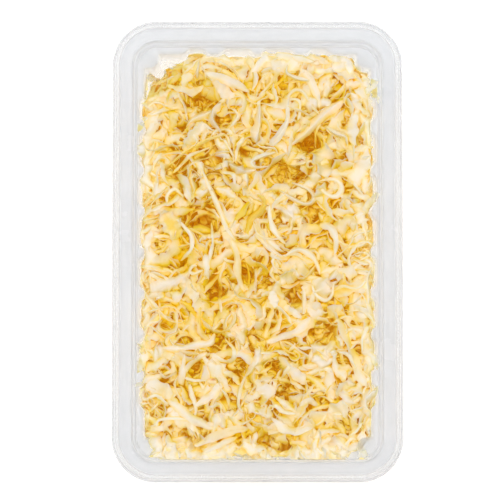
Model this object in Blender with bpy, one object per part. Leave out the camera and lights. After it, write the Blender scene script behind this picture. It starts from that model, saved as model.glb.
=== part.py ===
"""Sauerkraut in a clear rectangular food tray.

Metres, +Z up. The tray's long side lies along Y. The origin is the middle of
the flat underside, and the rim is the highest part. Two pieces are made: the
thin moulded tray, and the heap of shredded cabbage that fills it.
"""

import math
import random

import bmesh
import bpy
from mathutils import Vector, noise

MM = 0.001

# Tray: outline and levels
TRAY_LENGTH = 230 * MM
TRAY_WIDTH = 144 * MM
TRAY_HEIGHT = 50 * MM
CORNER_RADIUS = 22 * MM
WALL = 1.0 * MM
WALL_DRAFT = math.radians(10)

# Rim: distances in from the outer edge, and drops below the rim's top
LIP_DROP = 3.4 * MM
ROLL_WIDTH = 3.9 * MM
ROLL_ROUND = 1.3 * MM
FLANGE_DROP = 1.4 * MM
BEAD_INSET = 9.5 * MM
BEAD_HEIGHT = 0.4 * MM
LEDGE_INSET = 12.2 * MM
LEDGE_DROP = 4.0 * MM
SHELF_INSET = 12.4 * MM
SHELF_DROP = 6.2 * MM

# Fluted wall below the shelf
FLUTE_INSET = 12.9 * MM
FLUTE_PITCH = 20.5 * MM
FLUTE_HALF_WIDTH = 6.9 * MM
END_FLUTE_HALF_WIDTH = 4.3 * MM
FLUTE_SLOPE = 1.3 * MM
RIB_DEPTH = 2.6 * MM
LONG_SIDE_FLUTES = 4
SHORT_SIDE_FLUTES = 2
LUG_SIZE = 9.6 * MM
LUG_CHAMFER = 2.9 * MM
FOOT_HEIGHT = 6.0 * MM
FOOT_INSET = 4.0 * MM
# Share of the rib depth, flute width and lug size left at each level, downwards
RIB_FADE = (1.0, 0.55, 0.45, 0.40)
FLUTE_FADE = (1.0, 0.82, 0.80, 0.78)
LUG_FADE = (1.0, 0.90, 0.88, 0.85)

# Heap of sauerkraut
CLEARANCE = 0.35 * MM
HEAP_DROP = 10.5 * MM
HEAP_TOP_DROP = 5.6 * MM
HEAP_EDGE_FALL = 8 * MM
HEAP_EDGE_WIDTH = 10 * MM
HEAP_CORNER_RADIUS = 24 * MM
HEAP_BACK_GAP = 1.5 * MM
BUMP_SIZE = 17 * MM
BUMP_HEIGHT = 3.2 * MM
GRID_STEP = 8 * MM
DIPS = (
    (-26 * MM, 75 * MM),
    (-23 * MM, 46 * MM),
    (-26 * MM, 18 * MM),
    (22 * MM, -38 * MM),
    (-8 * MM, -74 * MM),
)
DIP_RADIUS = 7 * MM
DIP_DEPTH = 4.0 * MM

# Shreds and leaf pieces that show on top of the heap
SEED = 8604
SHRED_COLUMNS = 6
SHRED_ROWS = 10
SHRED_LENGTH = (24 * MM, 46 * MM)
SHRED_WIDTH = (2.4 * MM, 5.0 * MM)
SHRED_THICKNESS = 1.1 * MM
SHRED_SEGMENTS = 6
SHRED_ARCH = (1.2 * MM, 3.4 * MM)
SHRED_SINK = 0.6 * MM
SHRED_BEND = 1.6
SHRED_WAVE = 2.2
SHRED_ROLL = 0.7
LEAF_ROLL = 0.25
FEWEST_POINTS = 4
LEAF_COUNT = 7
LEAF_LENGTH = (16 * MM, 24 * MM)
LEAF_WIDTH = (7 * MM, 10 * MM)

HALF_WIDTH = TRAY_WIDTH / 2
HALF_LENGTH = TRAY_LENGTH / 2


def clear_scene():
    """Remove whatever the scene starts with."""
    for thing in list(bpy.data.objects):
        bpy.data.objects.remove(thing, do_unlink=True)


def material(name, colour, roughness, alpha=1.0):
    """Make a plain Principled material."""
    made = bpy.data.materials.new(name)
    made.use_nodes = True
    shader = made.node_tree.nodes["Principled BSDF"]
    shader.inputs["Base Color"].default_value = (*colour, 1.0)
    shader.inputs["Roughness"].default_value = roughness
    shader.inputs["Metallic"].default_value = 0.0
    shader.inputs["Alpha"].default_value = alpha
    made.diffuse_color = (*colour, alpha)
    return made


def mesh_object(name, bm, finish=None, collection=None):
    """Turn a bmesh into an object with outward faces."""
    bmesh.ops.recalc_face_normals(bm, faces=bm.faces)
    mesh = bpy.data.meshes.new(name)
    bm.to_mesh(mesh)
    bm.free()
    made = bpy.data.objects.new(name, mesh)
    if finish:
        mesh.materials.append(finish)
    (collection or bpy.context.scene.collection).objects.link(made)
    return made


def all_quadrants(quarter):
    """Repeat a quarter outline, from the +X side to the +Y side, all round."""
    outline = list(quarter)
    outline += [(-x, y) for x, y in reversed(quarter)]
    outline += [(-x, -y) for x, y in quarter]
    outline += [(x, -y) for x, y in reversed(quarter)]
    return outline


def plain_outline(inset, steps=8):
    """Rounded rectangle, moved in from the outer edge of the rim."""
    radius = CORNER_RADIUS - inset
    middle_x = HALF_WIDTH - CORNER_RADIUS
    middle_y = HALF_LENGTH - CORNER_RADIUS
    quarter = []
    for step in range(steps):
        angle = math.pi / 2 * step / (steps - 1)
        x = middle_x + radius * math.cos(angle)
        y = middle_y + radius * math.sin(angle)
        quarter.append((x, y))
    return all_quadrants(quarter)


def flutes(count, narrowing):
    """Middles and half widths of the flutes on one half of a side.

    The flute next to the corner is the narrow one.
    """
    widths = [FLUTE_HALF_WIDTH] * (count - 1) + [END_FLUTE_HALF_WIDTH]
    return [(FLUTE_PITCH * (place + 0.5), width * narrowing) for place, width in enumerate(widths)]


def fluted_outline(inset, rib, narrowing, lug):
    """Outline of the wall: flutes stand out to `inset`, ribs come in by `rib`.

    Each corner is cut by a square lug of side `lug` with its point chamfered.
    """
    side_x = HALF_WIDTH - inset
    side_y = HALF_LENGTH - inset
    quarter = []
    for middle, width in flutes(LONG_SIDE_FLUTES, narrowing):
        quarter.append((side_x - rib, middle - width - FLUTE_SLOPE))
        quarter.append((side_x, middle - width))
        quarter.append((side_x, middle + width))
        quarter.append((side_x - rib, middle + width + FLUTE_SLOPE))
    blunt = lug - LUG_CHAMFER
    quarter.append((side_x - rib, side_y - lug))
    quarter.append((side_x - blunt, side_y - lug))
    quarter.append((side_x - lug, side_y - blunt))
    quarter.append((side_x - lug, side_y - rib))
    for middle, width in reversed(flutes(SHORT_SIDE_FLUTES, narrowing)):
        quarter.append((middle + width + FLUTE_SLOPE, side_y - rib))
        quarter.append((middle + width, side_y))
        quarter.append((middle - width, side_y))
        quarter.append((middle - width - FLUTE_SLOPE, side_y - rib))
    return all_quadrants(quarter)


def add_loop(bm, outline, height):
    """Add a closed loop of vertices at one height."""
    return [bm.verts.new((x, y, height)) for x, y in outline]


def skin(bm, first, second, split=False):
    """Join two loops of equal length with a band of faces.

    Faces that aren't flat are split alike on every surface, so that the walls
    keep their thickness and their distance from the heap.
    """
    count = len(first)
    for place in range(count):
        after = (place + 1) % count
        if split:
            bm.faces.new((first[place], first[after], second[after]))
            bm.faces.new((first[place], second[after], second[place]))
        else:
            bm.faces.new((first[place], first[after], second[after], second[place]))


def fill_between(bm, outer, inner):
    """Fill the flat ring between two loops that differ in length."""
    edges = []
    for loop in (outer, inner):
        for place, vertex in enumerate(loop):
            after = loop[(place + 1) % len(loop)]
            edge = bm.edges.get((vertex, after)) or bm.edges.new((vertex, after))
            edges.append(edge)
    bmesh.ops.triangle_fill(bm, use_beauty=True, edges=edges)


def rim_profile(under):
    """Rim section from the lip inwards, as (inset, height) pairs.

    The underside follows the same line one wall thickness lower.
    """
    top = TRAY_HEIGHT
    groove = top - FLANGE_DROP
    ledge = top - LEDGE_DROP
    shelf = top - SHELF_DROP
    shoulder = ROLL_ROUND * 0.3
    if under:
        return [
            (WALL, top - LIP_DROP),
            (WALL, top - WALL - shoulder),
            (WALL + shoulder, top - WALL),
            (ROLL_WIDTH - WALL, top - WALL),
            (ROLL_WIDTH - shoulder, groove - WALL),
            (BEAD_INSET - shoulder, groove - WALL),
            (BEAD_INSET, ledge - WALL),
            (LEDGE_INSET - WALL, ledge - WALL),
            (SHELF_INSET - WALL, shelf - WALL),
        ]
    return [
        (0.0, top - LIP_DROP),
        (0.0, top - ROLL_ROUND),
        (shoulder, top - shoulder),
        (ROLL_ROUND, top),
        (ROLL_WIDTH - ROLL_ROUND, top),
        (ROLL_WIDTH - shoulder, top - shoulder),
        (ROLL_WIDTH, groove),
        (BEAD_INSET - 1.5 * BEAD_HEIGHT, groove),
        (BEAD_INSET - 0.5 * BEAD_HEIGHT, groove + BEAD_HEIGHT),
        (BEAD_INSET + BEAD_HEIGHT, groove + BEAD_HEIGHT),
        (BEAD_INSET + WALL, ledge + shoulder),
        (LEDGE_INSET, ledge),
        (SHELF_INSET, shelf),
    ]


def wall_levels(offset, floor, shelf):
    """Levels of the fluted wall from the shelf to the floor, as (inset, height) pairs.

    The wall leans in, then turns into the floor in two steps. `offset` moves it in.
    """
    top_inset = FLUTE_INSET + offset
    foot_inset = top_inset + (shelf - floor - FOOT_HEIGHT) * math.tan(WALL_DRAFT)
    return [
        (top_inset, shelf),
        (foot_inset, floor + FOOT_HEIGHT),
        (foot_inset + FOOT_INSET / 3, floor + FOOT_HEIGHT / 3),
        (foot_inset + FOOT_INSET, floor),
    ]


def add_wall(bm, offset, floor, shelf):
    """Add the fluted wall and its floor, and return the loop at the shelf."""
    loops = []
    for level, (inset, height) in enumerate(wall_levels(offset, floor, shelf)):
        rib = RIB_DEPTH * RIB_FADE[level]
        lug = LUG_SIZE * LUG_FADE[level]
        outline = fluted_outline(inset, rib, FLUTE_FADE[level], lug)
        loops.append(add_loop(bm, outline, height))
    for upper, lower in zip(loops, loops[1:]):
        skin(bm, upper, lower, split=True)
    bm.faces.new(loops[-1])
    return loops[0]


def make_tray(finish):
    """The tray: one thin moulding with a rolled rim, a ledge and fluted walls."""
    bm = bmesh.new()
    sides = []
    for under in (False, True):
        profile = rim_profile(under)
        loops = [add_loop(bm, plain_outline(inset), height) for inset, height in profile]
        for outer, inner in zip(loops, loops[1:]):
            skin(bm, outer, inner)
        drop = WALL if under else 0.0
        mouth = add_wall(bm, -drop, WALL - drop, TRAY_HEIGHT - SHELF_DROP - drop)
        fill_between(bm, loops[-1], mouth)
        sides.append(loops[0])
    skin(bm, sides[0], sides[1])
    tray = mesh_object("tray", bm, finish)
    tray.data.shade_smooth()
    tray.data.set_sharp_from_angle(angle=math.radians(32))
    return tray


def heap_margin(x, y):
    """Distance in from the edge of the heap, which has wide round corners.

    The heap stands back from the wall at the +Y end and is fuller at the other.
    """
    gap = HEAP_BACK_GAP * y / HALF_LENGTH
    over_x = abs(x) - (HALF_WIDTH - FLUTE_INSET - gap - HEAP_CORNER_RADIUS)
    over_y = abs(y) - (HALF_LENGTH - FLUTE_INSET - gap - HEAP_CORNER_RADIUS)
    outside = math.hypot(max(over_x, 0.0), max(over_y, 0.0))
    return HEAP_CORNER_RADIUS - outside - min(max(over_x, over_y), 0.0)


def heap_height(x, y):
    """Height of the core's uneven top over a point of the tray."""
    fall = 1.0 - min(1.0, heap_margin(x, y) / HEAP_EDGE_WIDTH)
    height = TRAY_HEIGHT - HEAP_DROP - HEAP_EDGE_FALL * fall * fall
    height += BUMP_HEIGHT * noise.noise(Vector((x, y, 0.0)) / BUMP_SIZE)
    for dip_x, dip_y in DIPS:
        distance = math.hypot(x - dip_x, y - dip_y) / DIP_RADIUS
        height -= DIP_DEPTH * math.exp(-distance * distance)
    return height


def make_core(finish):
    """Core of the heap: the tray's hollow, cut off by an uneven top."""
    bm = bmesh.new()
    shelf = TRAY_HEIGHT - SHELF_DROP
    mouth = add_wall(bm, CLEARANCE, WALL + CLEARANCE, shelf)
    bm.faces.new(mouth)
    core = mesh_object("sauerkraut", bm, finish)

    bm = bmesh.new()
    columns = round(2 * HALF_WIDTH / GRID_STEP)
    rows = round(2 * HALF_LENGTH / GRID_STEP)
    bmesh.ops.create_grid(bm, x_segments=columns, y_segments=rows, size=1.0)
    for vertex in bm.verts:
        vertex.co.x *= HALF_WIDTH
        vertex.co.y *= HALF_LENGTH
        vertex.co.z = heap_height(vertex.co.x, vertex.co.y)
    bmesh.ops.triangulate(bm, faces=bm.faces)
    raised = bmesh.ops.extrude_face_region(bm, geom=bm.faces[:])
    for part in raised["geom"]:
        if isinstance(part, bmesh.types.BMVert):
            part.co.z = TRAY_HEIGHT
    cutter = mesh_object("heap_top_cutter", bm)
    cut = core.modifiers.new("uneven_top", "BOOLEAN")
    cut.operation = "DIFFERENCE"
    cut.solver = "EXACT"
    cut.object = cutter
    apply_modifiers(core)
    bpy.data.objects.remove(cutter, do_unlink=True)
    return core


def apply_modifiers(thing):
    """Replace the object's mesh with its evaluated one."""
    depsgraph = bpy.context.evaluated_depsgraph_get()
    result = bpy.data.meshes.new_from_object(thing.evaluated_get(depsgraph))
    thing.modifiers.clear()
    thing.data = result


def inside_wall(point, margin):
    """Say whether a point keeps clear of the ribs and the corner lugs."""
    lean = (TRAY_HEIGHT - SHELF_DROP - point.z + margin) * math.tan(WALL_DRAFT)
    edge = FLUTE_INSET + RIB_DEPTH + CLEARANCE + lean + margin
    over_x = HALF_WIDTH - edge - abs(point.x)
    over_y = HALF_LENGTH - edge - abs(point.y)
    lug = LUG_SIZE - RIB_DEPTH
    return over_x > 0 and over_y > 0 and not (over_x < lug and over_y < lug)


def wandering_path(rng, x, y, heading, length, segments):
    """Points of a shred that curls as it goes, lying on the heap."""
    bend = rng.uniform(-1.0, 1.0) * SHRED_BEND / length
    wave = rng.uniform(0.5, 1.5) * SHRED_WAVE / length
    phase = rng.uniform(0, 2 * math.pi)
    arch = rng.uniform(*SHRED_ARCH)
    step = length / segments
    points = []
    for place in range(segments + 1):
        along = place / segments
        lift = arch * math.sin(math.pi * along) - SHRED_SINK
        points.append(Vector((x, y, heap_height(x, y) + lift)))
        heading += (bend + wave * math.cos(phase + 2 * math.pi * along)) * step
        x += step * math.cos(heading)
        y += step * math.sin(heading)
    return points


def add_strip(bm, path, width, thickness, roll, twist):
    """Add a flat strip along a path, closed at both ends."""
    last = len(path) - 1
    rings = []
    for place, point in enumerate(path):
        ahead = path[min(place + 1, last)] - path[max(place - 1, 0)]
        flat = Vector((-ahead.y, ahead.x, 0.0)).normalized()
        rise = ahead.cross(flat).normalized()
        turn = roll + twist * place / last
        across = flat * math.cos(turn) + rise * math.sin(turn)
        up = rise * math.cos(turn) - flat * math.sin(turn)
        taper = 0.55 + 0.45 * math.sin(math.pi * (place + 0.5) / (last + 1))
        wide = across * (width / 2 * taper)
        thick = up * (thickness / 2)
        corners = (point - wide - thick, point + wide - thick, point + wide + thick, point - wide + thick)
        rings.append([bm.verts.new(corner) for corner in corners])
    for first, second in zip(rings, rings[1:]):
        skin(bm, first, second)
    bm.faces.new(rings[0])
    bm.faces.new(rings[-1])
    bmesh.ops.triangulate(bm, faces=bm.faces)


def keep_low(path, room):
    """Lower a path so that it stays under the top level of the heap."""
    ceiling = TRAY_HEIGHT - HEAP_TOP_DROP - room
    return [Vector((point.x, point.y, min(point.z, ceiling))) for point in path]


def scatter_places(rng, columns, rows):
    """Starting places spread evenly over the heap, each moved a little."""
    reach_x = HALF_WIDTH - FLUTE_INSET - RIB_DEPTH
    reach_y = HALF_LENGTH - FLUTE_INSET - RIB_DEPTH
    for column in range(columns):
        for row in range(rows):
            x = reach_x * (2 * (column + rng.uniform(0.15, 0.85)) / columns - 1)
            y = reach_y * (2 * (row + rng.uniform(0.15, 0.85)) / rows - 1)
            yield x, y


def centred(path, x, y):
    """Shift a path so that its middle lies over a point, on the heap again."""
    middle = path[len(path) // 2]
    moved = []
    for point in path:
        lift = point.z - heap_height(point.x, point.y)
        new_x = point.x - middle.x + x
        new_y = point.y - middle.y + y
        moved.append(Vector((new_x, new_y, heap_height(new_x, new_y) + lift)))
    return moved


def make_shreds(collection):
    """Every shred and leaf piece that shows, as its own closed solid."""
    rng = random.Random(SEED)
    leaf_places = list(scatter_places(rng, 2, 4))[:LEAF_COUNT]
    shred_places = list(scatter_places(rng, SHRED_COLUMNS, SHRED_ROWS))
    for number, (x, y) in enumerate(leaf_places + shred_places):
        is_leaf = number < LEAF_COUNT
        length = rng.uniform(*(LEAF_LENGTH if is_leaf else SHRED_LENGTH))
        width = rng.uniform(*(LEAF_WIDTH if is_leaf else SHRED_WIDTH))
        most_roll = LEAF_ROLL if is_leaf else SHRED_ROLL
        roll = rng.uniform(-most_roll, most_roll)
        twist = rng.uniform(-most_roll, most_roll)
        heading = rng.uniform(0, 2 * math.pi)
        path = wandering_path(rng, x, y, heading, length, SHRED_SEGMENTS)
        path = centred(path, x, y)
        path = [point for point in path if inside_wall(point, width / 2)]
        if len(path) < FEWEST_POINTS:
            continue
        spread = width / 2 * math.sin(abs(roll) + abs(twist)) + SHRED_THICKNESS / 2
        bm = bmesh.new()
        add_strip(bm, keep_low(path, spread), width, SHRED_THICKNESS, roll, twist)
        mesh_object("leaf" if is_leaf else "shred", bm, collection=collection)


def keep_largest_piece(thing):
    """Drop loose scraps and closed hollows: keep the largest connected mesh."""
    bm = bmesh.new()
    bm.from_mesh(thing.data)
    unseen = set(bm.verts)
    pieces = []
    while unseen:
        queue = [unseen.pop()]
        piece = set(queue)
        while queue:
            for edge in queue.pop().link_edges:
                for vertex in edge.verts:
                    if vertex in unseen:
                        unseen.remove(vertex)
                        piece.add(vertex)
                        queue.append(vertex)
        pieces.append(piece)
    pieces.sort(key=len)
    for piece in pieces[:-1]:
        bmesh.ops.delete(bm, geom=list(piece), context="VERTS")
    bmesh.ops.triangulate(bm, faces=bm.faces)
    bm.to_mesh(thing.data)
    bm.free()


def make_sauerkraut(finish):
    """The heap: its core with the shreds that show fused on."""
    core = make_core(finish)
    shreds = bpy.data.collections.new("shreds")
    bpy.context.scene.collection.children.link(shreds)
    make_shreds(shreds)
    join = core.modifiers.new("fused_shreds", "BOOLEAN")
    join.operation = "UNION"
    join.solver = "EXACT"
    join.operand_type = "COLLECTION"
    join.collection = shreds
    apply_modifiers(core)
    for shred in list(shreds.objects):
        bpy.data.objects.remove(shred, do_unlink=True)
    bpy.data.collections.remove(shreds)
    keep_largest_piece(core)
    return core


def main():
    clear_scene()
    plastic = material("frosted_plastic", (0.88, 0.89, 0.90), 0.25, alpha=0.35)
    cabbage = material("fermented_cabbage", (0.90, 0.72, 0.35), 0.45)
    tray = make_tray(plastic)
    heap = make_sauerkraut(cabbage)
    for thing in (tray, heap):
        count = sum(len(face.vertices) - 2 for face in thing.data.polygons)
        print(thing.name, "triangles", count)


main()
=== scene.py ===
# %% [markdown]
# # Sauerkraut in a clear food tray
# A shallow, see-through tray stands on a white table, heaped with shredded
# fermented cabbage, and is seen from almost straight above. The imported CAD
# model gives the sizes: a thin tray and one solid for the heap. This script
# builds the same two things as a photographer would see them: a smooth moulded
# tray, and a heap of some thousands of separate shreds, curls and leaf pieces.

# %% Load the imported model
import math

import bmesh
import bpy
import numpy as np
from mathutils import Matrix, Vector, noise


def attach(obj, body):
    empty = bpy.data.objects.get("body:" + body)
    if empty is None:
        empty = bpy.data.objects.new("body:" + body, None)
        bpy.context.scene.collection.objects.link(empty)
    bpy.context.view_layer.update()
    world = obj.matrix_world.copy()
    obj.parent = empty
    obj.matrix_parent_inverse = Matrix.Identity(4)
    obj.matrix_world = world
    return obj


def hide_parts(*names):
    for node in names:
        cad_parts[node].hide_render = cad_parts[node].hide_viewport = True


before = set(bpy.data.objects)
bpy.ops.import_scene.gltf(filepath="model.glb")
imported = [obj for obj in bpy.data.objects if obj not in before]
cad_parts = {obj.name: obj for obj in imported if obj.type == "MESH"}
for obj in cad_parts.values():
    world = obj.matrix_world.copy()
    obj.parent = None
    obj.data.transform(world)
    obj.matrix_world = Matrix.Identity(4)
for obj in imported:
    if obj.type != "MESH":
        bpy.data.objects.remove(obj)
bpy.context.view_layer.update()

MM = 0.001
SEED = 8604
print("nodes:", sorted(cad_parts))

# %% [markdown]
# ## Camera
# The tray's outline is a rectangle with hardly any taper, so the lens is long
# and far away. The inner lines of the rim sit a little low inside the outer
# ones, which tells how far the camera leans from straight down: about seven
# degrees. A tilted camera without shift gives that by itself.

# %% Place the camera
PICTURE_SIDE = 500
PIXELS_PER_MM = 2.016
OUTLINE_MIDDLE = (257.5, 250.9)
CAMERA_LEAN = math.radians(7)
CAMERA_DISTANCE = 2.75
RIM_LEVEL = 48 * MM
SENSOR_WIDTH = 36.0

picture_width = PICTURE_SIDE / PIXELS_PER_MM * MM
aim_x = (PICTURE_SIDE / 2 - OUTLINE_MIDDLE[0]) / PIXELS_PER_MM * MM
aim_y = (OUTLINE_MIDDLE[1] - PICTURE_SIDE / 2) / PIXELS_PER_MM * MM / math.cos(CAMERA_LEAN)
lens = bpy.data.cameras.new("long_lens")
lens.sensor_width = SENSOR_WIDTH
lens.lens = SENSOR_WIDTH * CAMERA_DISTANCE / picture_width
lens.clip_end = 20.0
camera = bpy.data.objects.new("camera", lens)
camera.location = (
    aim_x,
    aim_y - CAMERA_DISTANCE * math.sin(CAMERA_LEAN),
    RIM_LEVEL + CAMERA_DISTANCE * math.cos(CAMERA_LEAN),
)
camera.rotation_euler = (CAMERA_LEAN, 0.0, 0.0)
bpy.context.scene.collection.objects.link(camera)
bpy.context.scene.camera = camera
print("lens:", round(lens.lens), "mm at", CAMERA_DISTANCE, "m")

# %% [markdown]
# ## Helpers for meshes and materials
# Every piece is begun with a bmesh operator and ends as an object whose own
# place is the origin, so that patterns stay where they are when it moves with
# the tray. Materials are node trees, and two short helpers keep them readable:
# one adds a node and fills its sockets, the other joins two nodes.


# %% Mesh helpers
def piece_from(bm, name, finish, outwards=True):
    """Turn a bmesh into a named object with a material."""
    if outwards:
        bmesh.ops.recalc_face_normals(bm, faces=bm.faces)
    mesh = bpy.data.meshes.new(name)
    bm.to_mesh(mesh)
    bm.free()
    piece = bpy.data.objects.new(name, mesh)
    mesh.materials.append(finish)
    bpy.context.scene.collection.objects.link(piece)
    return piece


def applied(piece):
    """Give the piece its modified mesh and drop the modifiers."""
    depsgraph = bpy.context.evaluated_depsgraph_get()
    mesh = bpy.data.meshes.new_from_object(piece.evaluated_get(depsgraph))
    piece.modifiers.clear()
    piece.data = mesh
    return piece


def triangles(piece):
    """Number of triangles in a piece."""
    return sum(len(face.vertices) - 2 for face in piece.data.polygons)


# %% Material helpers
def add(tree, kind, settings=None, **sockets):
    """Add a node, set its properties, and fill the sockets named in words."""
    made = tree.nodes.new(kind)
    for key, value in (settings or {}).items():
        setattr(made, key, value)
    for key, value in sockets.items():
        made.inputs[key.replace("_", " ")].default_value = value
    return made


def join(tree, source, output, target, socket):
    """Link an output to a socket, both given by name or number."""
    tree.links.new(source.outputs[output], target.inputs[socket])


def new_material(name):
    """A material with its tree and its Principled shader."""
    made = bpy.data.materials.new(name)
    made.use_nodes = True
    return made, made.node_tree, made.node_tree.nodes["Principled BSDF"]


def remap(tree, source, output, span, result=(0.0, 1.0), soft=False):
    """Map a span of a value to another one, evenly or with soft ends."""
    bounds = {"From_Min": span[0], "From_Max": span[1], "To_Min": result[0], "To_Max": result[1]}
    shape = {"interpolation_type": "SMOOTHSTEP" if soft else "LINEAR"}
    made = add(tree, "ShaderNodeMapRange", shape, **bounds)
    join(tree, source, output, made, "Value")
    return made


def let_lamps_through(tree, shader, share):
    """Rays from a lamp pass through the surface and take on a colour."""
    path = add(tree, "ShaderNodeLightPath")
    through = add(tree, "ShaderNodeBsdfTransparent", Color=(*share, 1.0))
    choose = add(tree, "ShaderNodeMixShader")
    join(tree, path, "Is Shadow Ray", choose, 0)
    join(tree, shader, "BSDF", choose, 1)
    join(tree, through, "BSDF", choose, 2)
    join(tree, choose, "Shader", tree.nodes["Material Output"], "Surface")


# %% [markdown]
# ## Table and light
# The ground of the photo is pure white, as on a light table: the plane glows a
# little, so it takes no shadow. A wide lamp above gives the white light. Lamps
# at the four sides bring out the form. What reaches a shred from the side has
# mostly come through other shreds, so the side lamps are golden for the heap and
# white for the tray. Light linking does that: each lamp lights one collection.
# The sky only fills in, and what the wet cabbage mirrors of it is golden too.

# %% Table
TABLE_SIDE = 3.0
TABLE_GLOW = 0.7
TABLE_GREYS = (0.52, 0.54)

table_finish, tree, shader = new_material("white_table")
shader.inputs["Roughness"].default_value = 0.9
shader.inputs["Specular IOR Level"].default_value = 0.1
table_grain = add(tree, "ShaderNodeTexNoise", Scale=40.0, Detail=2.0)
table_ramp = add(tree, "ShaderNodeValToRGB")
for element, grey in zip(table_ramp.color_ramp.elements, TABLE_GREYS):
    element.color = (grey, grey, grey, 1.0)
join(tree, table_grain, "Fac", table_ramp, "Fac")
join(tree, table_ramp, "Color", shader, "Base Color")
shader.inputs["Emission Color"].default_value = (1.0, 1.0, 1.0, 1.0)
shader.inputs["Emission Strength"].default_value = TABLE_GLOW

bm = bmesh.new()
bmesh.ops.create_grid(bm, x_segments=2, y_segments=2, size=TABLE_SIDE)
table = piece_from(bm, "table", table_finish)

# %% Sky and lamps
SKY_FILL = (0.12, 0.108, 0.085)
SKY_SHINE = (0.32, 0.26, 0.16)
GOLDEN = (1.0, 0.90, 0.70)
FILL_SIDE = 0.8
LAMP_SIDE = 0.6
TOP_SIDE = 1.6
TOP_PLACE = (0.0, 0.0, 1.6)
TOP_POWERS = (17.7, 7.0)
# Place of each side lamp, and its power for the heap and for the tray
SIDE_LAMPS = {
    "left": ((-0.9, 0.2, 1.0), 3.4, 6.0),
    "right": ((1.0, 0.1, 1.0), 3.0, 5.6),
    "front": ((0.2, -1.1, 0.9), 2.5, 1.5),
    "back": ((-0.1, 1.1, 0.9), 2.5, 2.3),
}
BOUNCES = 8
FILM_LAYERS = 24

sky = bpy.data.worlds.new("even_sky")
sky.use_nodes = True
backdrop = sky.node_tree.nodes["Background"]
seen = add(sky.node_tree, "ShaderNodeLightPath")
walls = add(sky.node_tree, "ShaderNodeMix", {"data_type": "RGBA"})
walls.inputs["A"].default_value = (*SKY_FILL, 1.0)
walls.inputs["B"].default_value = (*SKY_SHINE, 1.0)
join(sky.node_tree, seen, "Is Glossy Ray", walls, "Factor")
join(sky.node_tree, walls, "Result", backdrop, "Color")
bpy.context.scene.world = sky


def soft_lamp(name, place, side, power, lit, colour=(1.0, 1.0, 1.0)):
    """A square lamp that faces the tray and lights one collection."""
    data = bpy.data.lights.new(name, "AREA")
    data.size = side
    data.energy = power
    data.color = colour
    lamp = bpy.data.objects.new(name, data)
    lamp.location = place
    lamp.rotation_euler = (-Vector(place)).to_track_quat("-Z", "Y").to_euler()
    bpy.context.scene.collection.objects.link(lamp)
    lamp.light_linking.receiver_collection = lit


heap_parts = bpy.data.collections.new("heap_parts")
tray_parts = bpy.data.collections.new("tray_parts")
tray_parts.objects.link(table)
for word, (place, heap_power, tray_power) in SIDE_LAMPS.items():
    soft_lamp(word + "_fill", place, FILL_SIDE, heap_power, heap_parts, GOLDEN)
    soft_lamp(word + "_lamp", place, LAMP_SIDE, tray_power, tray_parts)
soft_lamp("top_lamp", TOP_PLACE, TOP_SIDE, TOP_POWERS[0], heap_parts)
soft_lamp("top_glow", TOP_PLACE, TOP_SIDE, TOP_POWERS[1], tray_parts)
bpy.context.scene.view_settings.view_transform = "Standard"
bpy.context.scene.cycles.diffuse_bounces = BOUNCES
bpy.context.scene.cycles.max_bounces = BOUNCES + 4
bpy.context.scene.cycles.transparent_max_bounces = FILM_LAYERS

# %% [markdown]
# ## The tray's shape
# The real tray is a sheet of plastic drawn into a mould: a rolled lip, a sunken
# flange, a fine bead, a ledge, a shelf, and a leaning wall with upright flutes
# and a square lug in each corner. All of it is one line that is carried round
# the tray. So the sheet starts as a circle operator, laid out as the outer edge,
# and is extruded ring by ring, each ring placed on the next line inwards.

# %% Sizes of the tray
HALF_WIDTH = 72 * MM
HALF_LENGTH = 115 * MM
TRAY_TOP = 50 * MM
WALL = 1.0 * MM
CORNER_RADIUS = 22 * MM
SHELF_LEVEL = TRAY_TOP - 6.2 * MM
FLUTE_INSET = 12.9 * MM
FLUTE_PITCH = 20.5 * MM
FLUTE_HALF_WIDTH = 6.9 * MM
END_FLUTE_HALF_WIDTH = 4.3 * MM
FLUTE_SLOPE = 1.6 * MM
RIB_DEPTH = 2.6 * MM
LUG_SIDE = 9.6 * MM
LUG_CHAMFER = 2.9 * MM
FOOT_LEVEL = 7 * MM
FLOOR_LEVEL = 1 * MM
FOOT_INSET = 4 * MM
WALL_LEAN = math.tan(math.radians(10))
LONG_FLUTES = 4
SHORT_FLUTES = 2
# Share of the rib depth, flute width and lug size left at the floor, the foot and the shelf
FADE_LEVELS = (FLOOR_LEVEL, FOOT_LEVEL, SHELF_LEVEL)
RIB_FADE = (0.40, 0.55, 1.0)
FLUTE_FADE = (0.78, 0.82, 1.0)
LUG_FADE = (0.85, 0.90, 1.0)

# Stations round a quarter of the tray: along the long side, the corner and the short side
LONG_STATIONS = 100
CORNER_STATIONS = 22
SHORT_STATIONS = 54


# %% Lines round the tray
def four_quarters(quarter):
    """Repeat a quarter line, from the +X side to the +Y side, all round."""
    back = quarter[::-1]
    return np.concatenate([quarter, back * (-1, 1), -quarter, back * (1, -1)])


def spaced(count):
    """Even places between 0 and 1 that touch neither end."""
    return (np.arange(count) + 0.5) / count


def rim_line(inset):
    """Rounded rectangle, moved in from the outer edge."""
    corner_x = HALF_WIDTH - CORNER_RADIUS
    corner_y = HALF_LENGTH - CORNER_RADIUS
    radius = CORNER_RADIUS - inset
    angle = spaced(CORNER_STATIONS) * math.pi / 2
    long_y = spaced(LONG_STATIONS) * corner_y
    short_x = (1 - spaced(SHORT_STATIONS)) * corner_x
    long_side = np.stack([np.full_like(long_y, HALF_WIDTH - inset), long_y], 1)
    corner = np.stack([corner_x + radius * np.cos(angle), corner_y + radius * np.sin(angle)], 1)
    short_side = np.stack([short_x, np.full_like(short_x, HALF_LENGTH - inset)], 1)
    return four_quarters(np.concatenate([long_side, corner, short_side]))


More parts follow.
